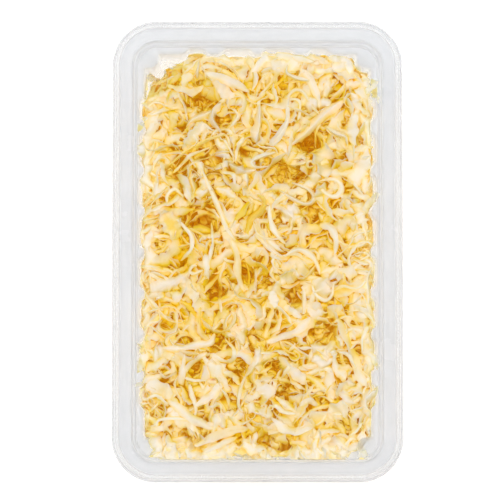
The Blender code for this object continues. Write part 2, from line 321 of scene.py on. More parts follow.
def rib_share(place, count, narrowing):
    """1 where a rib stands, 0 in a flute, with soft flanks. The last flute is narrow."""
    share = np.ones_like(place)
    for number in range(count):
        half = (FLUTE_HALF_WIDTH if number < count - 1 else END_FLUTE_HALF_WIDTH) * narrowing
        middle = FLUTE_PITCH * (number + 0.5)
        into = np.clip((half + FLUTE_SLOPE - np.abs(place - middle)) / FLUTE_SLOPE, 0, 1)
        share -= into * into * (3 - 2 * into)
    return share


def wall_line(inset, rib, narrowing, lug):
    """Line of the fluted wall: flutes stand out, ribs and the corner lugs stand in."""
    side_x = HALF_WIDTH - inset
    side_y = HALF_LENGTH - inset
    blunt = lug - LUG_CHAMFER
    long_y = spaced(LONG_STATIONS) * (side_y - lug)
    short_x = (1 - spaced(SHORT_STATIONS)) * (side_x - lug)
    long_x = side_x - rib * rib_share(long_y, LONG_FLUTES, narrowing)
    short_y = side_y - rib * rib_share(short_x, SHORT_FLUTES, narrowing)
    notch = np.array([
        (side_x - rib, side_y - lug),
        (side_x - blunt, side_y - lug),
        (side_x - lug, side_y - blunt),
        (side_x - lug, side_y - rib),
    ])
    run = np.concatenate([[0], np.cumsum(np.hypot(*np.diff(notch, axis=0).T))])
    along = spaced(CORNER_STATIONS) * run[-1]
    corner = np.stack([np.interp(along, run, notch[:, 0]), np.interp(along, run, notch[:, 1])], 1)
    long_side = np.stack([long_x, long_y], 1)
    short_side = np.stack([short_x, short_y], 1)
    line = four_quarters(np.concatenate([long_side, corner, short_side]))
    for _ in range(2):
        line = 0.25 * np.roll(line, 1, 0) + 0.5 * line + 0.25 * np.roll(line, -1, 0)
    return line


def come_in(height):
    """How far the wall has come in below the shelf: by its lean, then by its round foot."""
    lean = np.clip(SHELF_LEVEL - height, 0, SHELF_LEVEL - FOOT_LEVEL) * WALL_LEAN
    foot = np.clip((FOOT_LEVEL - height) / (FOOT_LEVEL - FLOOR_LEVEL), 0, 1)
    return lean + FOOT_INSET * (1 - np.sqrt(1 - foot * foot))


def wall_ring(height, offset=0.0):
    """The wall's inner line at a height, moved in by an offset."""
    rib = RIB_DEPTH * np.interp(height, FADE_LEVELS, RIB_FADE)
    narrowing = np.interp(height, FADE_LEVELS, FLUTE_FADE)
    lug = LUG_SIDE * np.interp(height, FADE_LEVELS, LUG_FADE)
    return wall_line(FLUTE_INSET + offset + come_in(height), rib, narrowing, lug)


# %% Rings of the sheet, from the lip to the floor
# Distance in from the outer edge and drop below the top, both in mm
RIM_SECTION = (
    (0.00, 3.40), (0.00, 2.40), (0.00, 1.60), (0.05, 1.00), (0.20, 0.62), (0.45, 0.42),
    (0.80, 0.36), (1.00, 0.34), (1.12, 0.22), (1.28, 0.08), (1.60, 0.01), (2.10, 0.00),
    (2.60, 0.02), (2.95, 0.09), (3.25, 0.22), (3.50, 0.45), (3.68, 0.80), (3.80, 1.20),
    (3.92, 1.42), (4.12, 1.50), (4.40, 1.42), (5.20, 1.38), (6.10, 1.36), (6.35, 1.42),
    (7.40, 1.44), (8.50, 1.44), (8.95, 1.36), (9.20, 1.14), (9.45, 1.02), (9.75, 1.02),
    (10.00, 1.18), (10.20, 1.60), (10.38, 2.60), (10.55, 3.40), (10.80, 3.78), (11.20, 3.94),
    (11.90, 3.98), (12.12, 4.10), (12.24, 4.50), (12.34, 5.60), (12.42, 6.05), (12.60, 6.18),
)
WALL_HEIGHTS = (
    43.72, 43.3, 42.4, 40.0, 37.0, 33.0, 28.0, 23.0, 18.0, 13.0, 9.5, 7.0, 5.2, 3.6, 2.4, 1.6, 1.15, 1.0,
)
FLOOR_SHARES = (0.94, 0.8, 0.5)


def next_ring(bm, ring, line, height):
    """Extrude a ring of vertices and place the new ring on a line."""
    edges = [bm.edges.get((ring[place - 1], ring[place])) for place in range(len(ring))]
    old = {vertex: place for place, vertex in enumerate(ring)}
    made = bmesh.ops.extrude_edge_only(bm, edges=edges)
    fresh = [None] * len(ring)
    for vertex in (part for part in made["geom"] if isinstance(part, bmesh.types.BMVert)):
        for edge in vertex.link_edges:
            place = old.get(edge.other_vert(vertex))
            if place is not None:
                fresh[place] = vertex
                vertex.co = (*line[place], height)
    return fresh


def first_ring(bm, line, height):
    """A circle operator's vertices, laid out on a line."""
    made = bmesh.ops.create_circle(bm, cap_ends=False, segments=len(line), radius=1.0)
    ring = made["verts"]
    for vertex, point in zip(ring, line):
        vertex.co = (*point, height)
    return ring


def tray_sheet():
    """The food side of the sheet as one open surface, and its rings."""
    bm = bmesh.new()
    inset, drop = RIM_SECTION[0]
    ring = first_ring(bm, rim_line(inset * MM), TRAY_TOP - drop * MM)
    for inset, drop in RIM_SECTION[1:]:
        ring = next_ring(bm, ring, rim_line(inset * MM), TRAY_TOP - drop * MM)
    for height in WALL_HEIGHTS:
        ring = next_ring(bm, ring, wall_ring(height * MM), height * MM)
    inner = wall_ring(FLOOR_LEVEL)
    for share in FLOOR_SHARES:
        ring = next_ring(bm, ring, inner * share, FLOOR_LEVEL)
    bmesh.ops.contextual_create(bm, geom=ring)
    return bm


# %% [markdown]
# ## Frosted plastic
# The plastic is clear but milky, and glossy on its rounded edges. It could be
# glass with a rough surface, but thin sheet hardly bends light: what is seen is
# a white veil over whatever lies behind. So the material is a pale, smooth
# plastic that is mostly see-through. The veil is denser at the rim, where the
# sheet kept its thickness, and thinner down the wall, where it was drawn out.
# The crown of the rim is made nearly clear, a painted highlight: the bright
# table shows through it as a band of light. A slow noise makes the veil uneven.
# Light wanders a couple of millimetres in it, as haze, and a lamp's rays pass.


# %% Make the plastic
MILKY = (0.62, 0.65, 0.70)
WALL_VEIL = 0.17
RIM_VEIL = 0.36
DRAWN_THIN = 30 * MM
CLOUDS = (0.3, 0.7)
CLOUD_VEIL = (0.94, 1.06)
CLOUD_ROUGHNESS = (0.20, 0.28)
RIPPLE_DEPTH = 0.1 * MM
LAMP_SHARE = (0.93, 0.93, 0.93)
HAZE_DEPTH = 2 * MM
CROWN_FOOT = TRAY_TOP - 0.9 * MM
CROWN_HIGHLIGHT_SHARE = 0.3


def multiplied(tree, first, second):
    """The product of what two nodes put out."""
    made = add(tree, "ShaderNodeMath", {"operation": "MULTIPLY"})
    join(tree, first, 0, made, 0)
    join(tree, second, 0, made, 1)
    return made


def frosted_plastic():
    """Milky see-through sheet plastic."""
    made, tree, shader = new_material("frosted_plastic")
    shader.inputs["Base Color"].default_value = (*MILKY, 1.0)
    shader.inputs["Specular IOR Level"].default_value = 0.5
    shader.inputs["Subsurface Weight"].default_value = 1.0
    shader.inputs["Subsurface Radius"].default_value = (1.0, 1.0, 1.0)
    shader.inputs["Subsurface Scale"].default_value = HAZE_DEPTH
    place = add(tree, "ShaderNodeTexCoord")
    cloud = add(tree, "ShaderNodeTexNoise", Scale=55.0, Detail=4.0, Roughness=0.55)
    join(tree, place, "Object", cloud, "Vector")
    level = add(tree, "ShaderNodeSeparateXYZ")
    join(tree, place, "Object", level, "Vector")
    veil = remap(tree, cloud, "Fac", CLOUDS, CLOUD_VEIL)
    drawn = remap(tree, level, "Z", (DRAWN_THIN, SHELF_LEVEL), (WALL_VEIL, RIM_VEIL), soft=True)
    # Painted highlight: the crown of the rim is made nearly clear, so the bright table behind shows as a
    # light band.
    crown_highlight = remap(tree, level, "Z", (CROWN_FOOT, TRAY_TOP), (1.0, CROWN_HIGHLIGHT_SHARE), soft=True)
    cover = multiplied(tree, multiplied(tree, veil, crown_highlight), drawn)
    join(tree, cover, 0, shader, "Alpha")
    haze = remap(tree, cloud, "Fac", CLOUDS, CLOUD_ROUGHNESS)
    join(tree, haze, "Result", shader, "Roughness")
    ripple = add(tree, "ShaderNodeTexNoise", Scale=260.0, Detail=2.0)
    join(tree, place, "Object", ripple, "Vector")
    relief = add(tree, "ShaderNodeBump", Strength=0.04, Distance=RIPPLE_DEPTH)
    join(tree, ripple, "Fac", relief, "Height")
    join(tree, relief, "Normal", shader, "Normal")
    let_lamps_through(tree, shader, LAMP_SHARE)
    return made


tray = piece_from(tray_sheet(), "moulded_tray", frosted_plastic(), outwards=False)
shell = tray.modifiers.new("sheet_thickness", "SOLIDIFY")
shell.thickness = WALL
shell.offset = -1.0
shell.use_even_offset = True
applied(tray)
tray.data.shade_smooth()
bm = bmesh.new()
bm.from_mesh(tray.data)
print("tray volume in ml:", round(bm.calc_volume(signed=True) / MM ** 3 / 1000, 1))
bm.free()
print("tray triangles:", triangles(tray))
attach(tray, "root")
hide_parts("tray")
tray_parts.objects.link(tray)

# %% [markdown]
# ## The heap's form
# The heap fills the tray to just under the shelf. Its top is uneven: soft
# rises, many small deep hollows, and slumps at its edge, the largest in a far
# corner. One height function holds that, the level that the loose shreds build
# up to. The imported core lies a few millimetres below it.

# %% Heights of the heap
HEAP_LEVEL = 41.6 * MM
SHRED_LAYER = 6.4 * MM
EDGE_FALL = 2 * MM
EDGE_WIDTH = 10 * MM
HEAP_CORNER_RADIUS = 22 * MM
BACK_GAP = 2.0 * MM
EDGE_GAP = 0.6 * MM
BUMP_SIZE = 19 * MM
BUMP_HEIGHT = 4.2 * MM
# Hollows, and slumps at the edge: place, radius and depth in mm
HOLLOWS = (
    (-27, 78, 6, 8), (-27, 17, 6, 11), (-21, -18, 5, 10), (25, 56, 5, 11), (29, 19, 4, 9), (18, -23, 5, 9),
    (12, 40, 5, 8), (21, 39, 4, 8), (34, -40, 5, 8), (-1, -42, 5, 6), (9, -57, 4, 8), (-10, -60, 5, 8),
    (-24, 48, 4, 8), (-39, -4, 4, 5), (-7, 51, 3, 6), (-6, -10, 5, 7), (-38, -91, 4, 5), (4, -94, 4, 6),
    (-19, -46, 4, 5), (14, 84, 4, 5), (-39, 64, 6, 4), (39, 46, 4, 5), (-18, 67, 4, 6), (-28, -84, 4, 6),
    (-30, -56, 3, 6), (-14, -74, 4, 6), (15, -70, 4, 5), (10, 18, 3, 6), (28, -41, 3, 5), (44, -86, 4, 4),
    (-51, 4, 3, 4), (38, 82, 3, 5), (51, -75, 3, 4), (-35, -44, 4, 5), (-42, 41, 3, 4), (31, 4, 3, 4),
    (4, -15, 3, 5),
)
HOLLOW_SHARE = 1.1
LOWEST_LEVEL = 12 * MM
SLUMPS = (
    (-60, 101, 19, 34.0), (-8, 106, 10, 12.0), (60, 100, 9, 16.0), (14, -106, 8, 16.0), (-62, -104, 9, 14.0),
    (61, 20, 9, 6.0), (-30, 107, 9, 7.0), (62, -104, 9, 12.0),
)


def heap_margin(x, y):
    """Distance in from the heap's edge, which has wide round corners."""
    gap = BACK_GAP * y / HALF_LENGTH + EDGE_GAP
    over_x = np.abs(x) - (HALF_WIDTH - FLUTE_INSET - gap - HEAP_CORNER_RADIUS)
    over_y = np.abs(y) - (HALF_LENGTH - FLUTE_INSET - gap - HEAP_CORNER_RADIUS)
    outside = np.hypot(np.maximum(over_x, 0.0), np.maximum(over_y, 0.0))
    return HEAP_CORNER_RADIUS - outside - np.minimum(np.maximum(over_x, over_y), 0.0)


def smooth_noise(x, y, size, offset=0.0):
    """Smooth noise over plan points, as an array."""
    flat = [
        noise.noise(Vector((px / size, py / size, offset)))
        for px, py in zip(np.ravel(x), np.ravel(y))
    ]
    return np.array(flat).reshape(np.shape(x))


def heap_level(x, y):
    """Level that the shreds build up to."""
    fall = 1.0 - np.clip(heap_margin(x, y) / EDGE_WIDTH, 0, 1)
    level = HEAP_LEVEL - EDGE_FALL * fall * fall
    level = level + BUMP_HEIGHT * smooth_noise(x, y, BUMP_SIZE)
    for hollow_x, hollow_y, radius, depth in HOLLOWS:
        away = np.hypot(x - hollow_x * MM, y - hollow_y * MM) / (radius * MM)
        level = level - HOLLOW_SHARE * depth * MM * np.exp(-away * away)
    for slump_x, slump_y, radius, depth in SLUMPS:
        away = np.hypot(x - slump_x * MM, y - slump_y * MM) / (radius * MM)
        level = level - depth * MM * np.exp(-away ** 3)
    return np.maximum(level, LOWEST_LEVEL)


# %% [markdown]
# ## A map of the heap's top
# A physics engine could drop the shreds, but a thousand soft ribbons would take
# hours. Instead the heap keeps a map of heights, half a millimetre to a cell.
# Each shred in turn is laid on the map: it rests on the highest things below it,
# bridges the gaps between them, sags a little, and then raises the map where it
# lies. Later shreds lie on earlier ones, and the gaps stay open as crevices. The
# tray's ledge is on the map too, so that a few shreds can lean on it.

# %% The map
CELL = 0.5 * MM
MAP_HALF_X = 62 * MM
MAP_HALF_Y = 106 * MM
CORE_BUMP_HEIGHT = 0.8 * MM
CORE_BUMP_SIZE = 4 * MM
LEDGE_LEVEL = TRAY_TOP - 3.9 * MM
LEDGE_END = 12.45 * MM

map_x = np.arange(-MAP_HALF_X, MAP_HALF_X, CELL) + CELL / 2
map_y = np.arange(-MAP_HALF_Y, MAP_HALF_Y, CELL) + CELL / 2
grid_x, grid_y = np.meshgrid(map_x, map_y, indexing="ij")
goal = heap_level(grid_x, grid_y)
core_top = goal - SHRED_LAYER + CORE_BUMP_HEIGHT * smooth_noise(grid_x, grid_y, CORE_BUMP_SIZE, 3.0)
on_ledge = np.minimum(HALF_WIDTH - np.abs(grid_x), HALF_LENGTH - np.abs(grid_y)) < LEDGE_END
top = np.where(on_ledge, LEDGE_LEVEL, core_top)
print("map cells:", top.shape)
print("level from", round(goal.min() / MM, 1), "to", round(goal.max() / MM, 1), "mm")


def cells(x, y):
    """Map cells of plan points."""
    column = np.clip(np.asarray((x + MAP_HALF_X) / CELL).astype(int), 0, top.shape[0] - 1)
    row = np.clip(np.asarray((y + MAP_HALF_Y) / CELL).astype(int), 0, top.shape[1] - 1)
    return column, row


# %% [markdown]
# ## How a shred is laid
# A shred is a ribbon cut across the leaf. In plan it is an arc with a wave in
# it, and some curl right round. It lies flat in places and turns on its edge in
# others, which is why its seen width keeps changing. Neighbours from the same
# cut lie side by side, so a shred often starts from the plan of the one before.

# %% Lay one shred on the map
POINTS = 17
ALONG = np.linspace(0, 1, POINTS)
ACROSS = np.linspace(-1, 1, 7)
FINE = np.linspace(0, POINTS - 1, 4 * POINTS)
MOST_HEIGHT = 46.0 * MM
KINK = 0.12
HOVER = 2.2 * MM
BRIDGE_BEND = 14 * MM
BITE = 0.7 * MM
MOST_TILT = 0.7


def curled_plan(rng, length, turn, wave):
    """Plan of a ribbon about its own middle."""
    phase = rng.random()
    beats = rng.uniform(0.7, 1.7)
    heading = turn * (ALONG - 0.5) + wave * np.sin(2 * math.pi * (ALONG * beats + phase))
    heading = heading + np.cumsum(rng.normal(0, KINK, POINTS))
    step = length / (POINTS - 1)
    x = np.concatenate([[0.0], np.cumsum(np.cos(heading[:-1]))]) * step
    y = np.concatenate([[0.0], np.cumsum(np.sin(heading[:-1]))]) * step
    return np.stack([x - x.mean(), y - y.mean()], 1)


def turned(plan, angle):
    """The plan turned about its middle."""
    c, s = math.cos(angle), math.sin(angle)
    return plan @ np.array([[c, s], [-s, c]])


def kept_inside(plan, room):
    """Shift a plan off the heap's edge, or return None if it can't be."""
    limit_x = HALF_WIDTH - FLUTE_INSET - room
    limit_y = HALF_LENGTH - FLUTE_INSET - room
    for axis, limit in ((0, limit_x), (1, limit_y)):
        over = plan[:, axis].max() - limit
        under = -limit - plan[:, axis].min()
        if over > 0:
            plan[:, axis] -= over
        elif under > 0:
            plan[:, axis] += under
    return plan if heap_margin(plan[:, 0], plan[:, 1]).min() > 0.3 * room else None


def rested(plan, half_width, thickness, roll, lift, sag, most=MOST_HEIGHT):
    """Rest a ribbon on the map: its heights, its turns and its sideways directions."""
    ahead = np.gradient(plan, axis=0)
    ahead /= np.maximum(np.linalg.norm(ahead, axis=1, keepdims=True), 1e-9)
    side = np.stack([-ahead[:, 1], ahead[:, 0]], 1)
    reach = half_width * np.maximum(np.abs(np.cos(roll)), 0.25)
    probes = []
    for share in (-0.8, 0.0, 0.8):
        x = plan[:, 0] + side[:, 0] * reach * share
        y = plan[:, 1] + side[:, 1] * reach * share
        probes.append(top[cells(x, y)])
    tilt = np.arctan2(probes[2] - probes[0], 1.6 * reach)
    tilt = np.convolve(np.pad(tilt, 2, mode="edge"), np.ones(5) / 5, "valid")
    tilt = np.clip(tilt, -MOST_TILT, MOST_TILT)
    under = 0.5 * np.max(probes, axis=0) + 0.5 * np.mean(probes, axis=0)
    gap = np.linalg.norm(plan[:, None] - plan[None], axis=2)
    bridge = np.max(under[None] - gap * gap / (2 * BRIDGE_BEND), axis=1)
    rest = (1 - sag) * bridge + sag * under
    rest = np.convolve(np.pad(rest, 1, mode="edge"), (0.25, 0.5, 0.25), "valid")
    rest = np.maximum(rest, under - BITE)
    rest = np.convolve(np.pad(rest, 1, mode="edge"), (0.2, 0.6, 0.2), "valid")
    turn = roll + 0.8 * tilt
    height = rest + thickness / 2 + 0.45 * half_width * np.abs(np.sin(roll)) + lift
    height = np.minimum(height, most - half_width * np.abs(np.sin(turn)))
    return height, turn, side


def stamp(plan, side, height, turn, half_width, thickness):
    """Raise the map where a ribbon lies."""
    steps = np.arange(POINTS)
    fine_plan = np.stack([np.interp(FINE, steps, plan[:, axis]) for axis in (0, 1)], 1)
    fine_side = np.stack([np.interp(FINE, steps, side[:, axis]) for axis in (0, 1)], 1)
    fine_turn = np.interp(FINE, steps, turn)[:, None]
    wide = np.interp(FINE, steps, half_width)[:, None] * ACROSS[None]
    x = fine_plan[:, :1] + fine_side[:, :1] * wide * np.cos(fine_turn)
    y = fine_plan[:, 1:] + fine_side[:, 1:] * wide * np.cos(fine_turn)
    z = np.interp(FINE, steps, height)[:, None] + wide * np.sin(fine_turn) + thickness / 2
    np.maximum.at(top, cells(x, y), z)


# %% [markdown]
# ## Kinds of cut
# Sauerkraut isn't one shape. There are broad ribbons and narrow ones, fine
# yellow threads from the outer leaves, torn leaf pieces, and forked ends where
# a cut ran out. Each kind is one piece of the model, but all are laid in one
# order, so that they lie over and under each other. The hollows are lined
# first, then the heap is filled, short bits close what is still low, a few
# shreds lean on the ledge, and those that stand out in the photo come last.

# %% The kinds and their sizes
FACTS = ("length", "width", "thick", "turn", "wave", "roll", "share")
# Length, width and thickness in mm; turn and wave in radians; most roll; share of the lot
KINDS = {
    kind: dict(zip(FACTS, values))
    for kind, values in {
        "broad_shreds": ((16, 36), (3.2, 6.6), 0.55, 1.6, 0.6, 0.5, 0.30),
        "narrow_shreds": ((16, 42), (1.7, 3.2), 0.75, 2.6, 0.8, 0.65, 0.36),
        "forked_shreds": ((16, 30), (3.2, 6.2), 0.6, 1.2, 0.4, 0.5, 0.14),
        "fine_threads": ((10, 30), (0.8, 1.4), 0.6, 2.4, 0.8, 0.9, 0.10),
        "leaf_pieces": ((9, 18), (5.0, 10.5), 0.5, 0.8, 0.4, 0.4, 0.15),
    }.items()
}
TRIES = 7
NEAR_TRIES = 3
SHREDS = 2500
MOST_SAG = 0.85
FULL = 0.6 * MM
BITS = 700
BIT_LENGTH = (12, 26)
BIT_KINDS = ("narrow_shreds", "broad_shreds", "leaf_pieces")
BIT_TRIES = 6
OVER_EDGE = 36
OVER_FRONT = 30
OVER_LENGTH = (14, 28)
OVER_THICK = 0.5 * MM
OVER_KINDS = ("broad_shreds", "forked_shreds", "leaf_pieces", "leaf_pieces")
HEAP_REACH = (58 * MM, 102 * MM)
LININGS = 20
LINING_LENGTH = (8, 16)
LINING_KINDS = ("broad_shreds", "narrow_shreds", "forked_shreds")
# Where a yellow outer leaf was cut: place and radius in mm
YELLOW_LEAVES = (
    (-39, -3, 8), (-44, 66, 9), (-48, 22, 8), (-36, 84, 6), (41, 78, 6), (10, 84, 6),
    (-6, -94, 9), (5, -66, 6), (30, -72, 6), (44, -20, 6), (-2, 14, 5), (-30, -34, 6),
)


def width_line(rng, kind):
    """Half widths of a ribbon along its length: torn, uneven and narrower at its ends."""
    size = rng.uniform(*KINDS[kind]["width"]) * MM / 2
    if rng.random() < 0.45:
        size = size * np.linspace(1.2, 0.5, POINTS)
    ends = rng.uniform(0.05, 0.6, 2)
    taper = rng.uniform(0.10, 0.40, 2)
    rise = np.clip(ALONG / taper[0], 0, 1)
    fall = np.clip((1 - ALONG) / taper[1], 0, 1)
    shape = (ends[0] + (1 - ends[0]) * rise) * (ends[1] + (1 - ends[1]) * fall)
    slow = 0.22 * np.sin(2 * math.pi * (ALONG * rng.uniform(0.8, 2) + rng.random()))
    quick = 0.20 * np.sin(2 * math.pi * (ALONG * rng.uniform(3, 6) + rng.random()))
    return size * shape * (1 + slow + quick)


def leaf_tone(plan, rng):
    """Tone of a shred: its neighbours come from the same leaf, so they are alike."""
    x, y = plan.mean(axis=0)
    tone = 0.38 + 0.35 * noise.noise(Vector((x, y, 0.05)) / (22 * MM)) + 0.24 * (rng.random() - 0.4)
    for leaf_x, leaf_y, radius in YELLOW_LEAVES:
        away = math.hypot(x - leaf_x * MM, y - leaf_y * MM) / (radius * MM)
        tone += 0.4 * math.exp(-away * away)
    return float(np.clip(tone, 0.12, 1))


def strand_facts(rng, kind, plan, height, turn, half_width, length, tone):
    """All that is needed later to bend a strip into this shred."""
    loose = 1.3 if kind == "leaf_pieces" else 1.0
    return {
        "plan": plan, "height": height, "turn": turn, "half_width": half_width, "tone": tone,
        "cup": rng.normal(-0.12, 0.34) / loose, "slant": rng.normal(0, 0.5) / loose, "length": length,
        "thick": KINDS[kind]["thick"] * MM * rng.uniform(0.8, 1.2),
        "ruffle": rng.uniform(0, 1) * loose, "phase": rng.random(), "seed": rng.uniform(0, 100),
    }


def settle(rng, laid, kind, plan, half_width, length, sag):
    """Lay one shred down, unless it would hover too high above the level."""
    facts = KINDS[kind]
    swing = np.sin(math.pi * (ALONG * rng.uniform(0.5, 1.5) + rng.random()))
    roll = rng.normal(0, facts["roll"]) * 0.6 + rng.normal(0, facts["roll"]) * swing
    lift = max(0.0, rng.normal(0.1, 0.6)) * MM * np.sin(math.pi * ALONG)
    thickness = facts["thick"] * MM
    height, turn, side = rested(plan, half_width, thickness, roll, lift * (1 - sag), sag)
    if np.max(height - goal[cells(plan[:, 0], plan[:, 1])]) > HOVER:
        return False
    stamp(plan, side, height, turn, half_width, thickness)
    tone = leaf_tone(plan, rng)
    laid[kind].append(strand_facts(rng, kind, plan, height, turn, half_width, length, tone))
    return True


def lack_under(plan):
    """How far the map is below the level along a plan."""
    spots = cells(plan[:, 0], plan[:, 1])
    return np.mean(goal[spots] - top[spots])


def anywhere(rng, plan, room):
    """The plan turned and moved to a random place on the heap, with its angle."""
    angle = rng.uniform(0, 2 * math.pi)
    middle = np.array([rng.uniform(-reach, reach) for reach in HEAP_REACH])
    return kept_inside(turned(plan, angle) + middle, room), angle


def fill_heap(laid):
    """Lay shreds of all kinds until the heap is up to its level."""
    rng = np.random.default_rng(SEED)
    names = list(KINDS)
    shares = np.array([KINDS[name]["share"] for name in names])
    previous = None
    for _ in range(SHREDS):
        kind = names[rng.choice(len(names), p=shares / shares.sum())]
        facts = KINDS[kind]
        length = rng.uniform(*facts["length"]) * MM
        best = None
        beside = previous is not None and rng.random() < 0.5 and kind != "leaf_pieces"
        branch = rng.random() < 0.4
        plan = curled_plan(rng, length, rng.normal(0, facts["turn"]), rng.normal(0, facts["wave"]))
        half_width = width_line(rng, kind)
        for attempt in range(TRIES):
            if beside and attempt < NEAR_TRIES:
                angle = previous["angle"] + rng.normal(0, 0.35)
                placed = turned(plan, angle)
                if branch:
                    placed = placed - placed[0] + previous["plan"][rng.integers(2, POINTS - 2)]
                else:
                    placed = placed + previous["plan"].mean(axis=0) + rng.normal(0, 2.4, 2) * MM
                placed = kept_inside(placed, half_width.max())
            else:
                placed, angle = anywhere(rng, plan, half_width.max())
            if placed is not None:
                lack = lack_under(placed)
                if best is None or lack > best[0]:
                    best = (lack, placed, angle)
        if best is None or best[0] < FULL:
            continue
        _, placed, angle = best
        if settle(rng, laid, kind, placed, half_width, length, MOST_SAG):
            previous = {"angle": angle, "plan": placed}


def fill_gaps(laid):
    """Lay short bits where the heap is still low: they sink into gaps and hollows."""
    rng = np.random.default_rng(SEED + 3)
    roomy = heap_margin(grid_x, grid_y) > 0.8 * MM
    for _ in range(BITS):
        low = np.argwhere(roomy & (goal - top > FULL))
        if not len(low):
            break
        column, row = low[rng.integers(len(low))]
        middle = np.array([map_x[column], map_y[row]])
        kind = BIT_KINDS[rng.integers(len(BIT_KINDS))]
        length = rng.uniform(*BIT_LENGTH) * MM
        plan = curled_plan(rng, length, rng.normal(0, 1.2), rng.normal(0, 0.5))
        half_width = width_line(rng, kind) * rng.uniform(0.7, 1.1)
        places = [turned(plan, rng.uniform(0, 2 * math.pi)) + middle for _ in range(BIT_TRIES)]
        places = [place for place in places if kept_inside(place, half_width.max()) is not None]
        if places:
            lacks = [lack_under(place) for place in places]
            settle(rng, laid, kind, places[int(np.argmax(lacks))], half_width, length, MOST_SAG)
    print("cells still low:", len(low))


def line_hollows(laid):
    """Lay soft bits on the core where a hollow will stay open above them."""
    rng = np.random.default_rng(SEED + 4)
    for hollow_x, hollow_y, radius, _ in HOLLOWS:
        for _ in range(LININGS):
            kind = LINING_KINDS[rng.integers(len(LINING_KINDS))]
            length = rng.uniform(*LINING_LENGTH) * MM
            plan = curled_plan(rng, length, rng.normal(0, 1.5), rng.normal(0, 0.6))
            middle = np.array([hollow_x, hollow_y]) * MM + rng.normal(0, 0.8, 2) * radius * MM
            plan = kept_inside(turned(plan, rng.uniform(0, 2 * math.pi)) + middle, 2 * MM)
            if plan is not None:
                settle(rng, laid, kind, plan, width_line(rng, kind), length, 0.9)


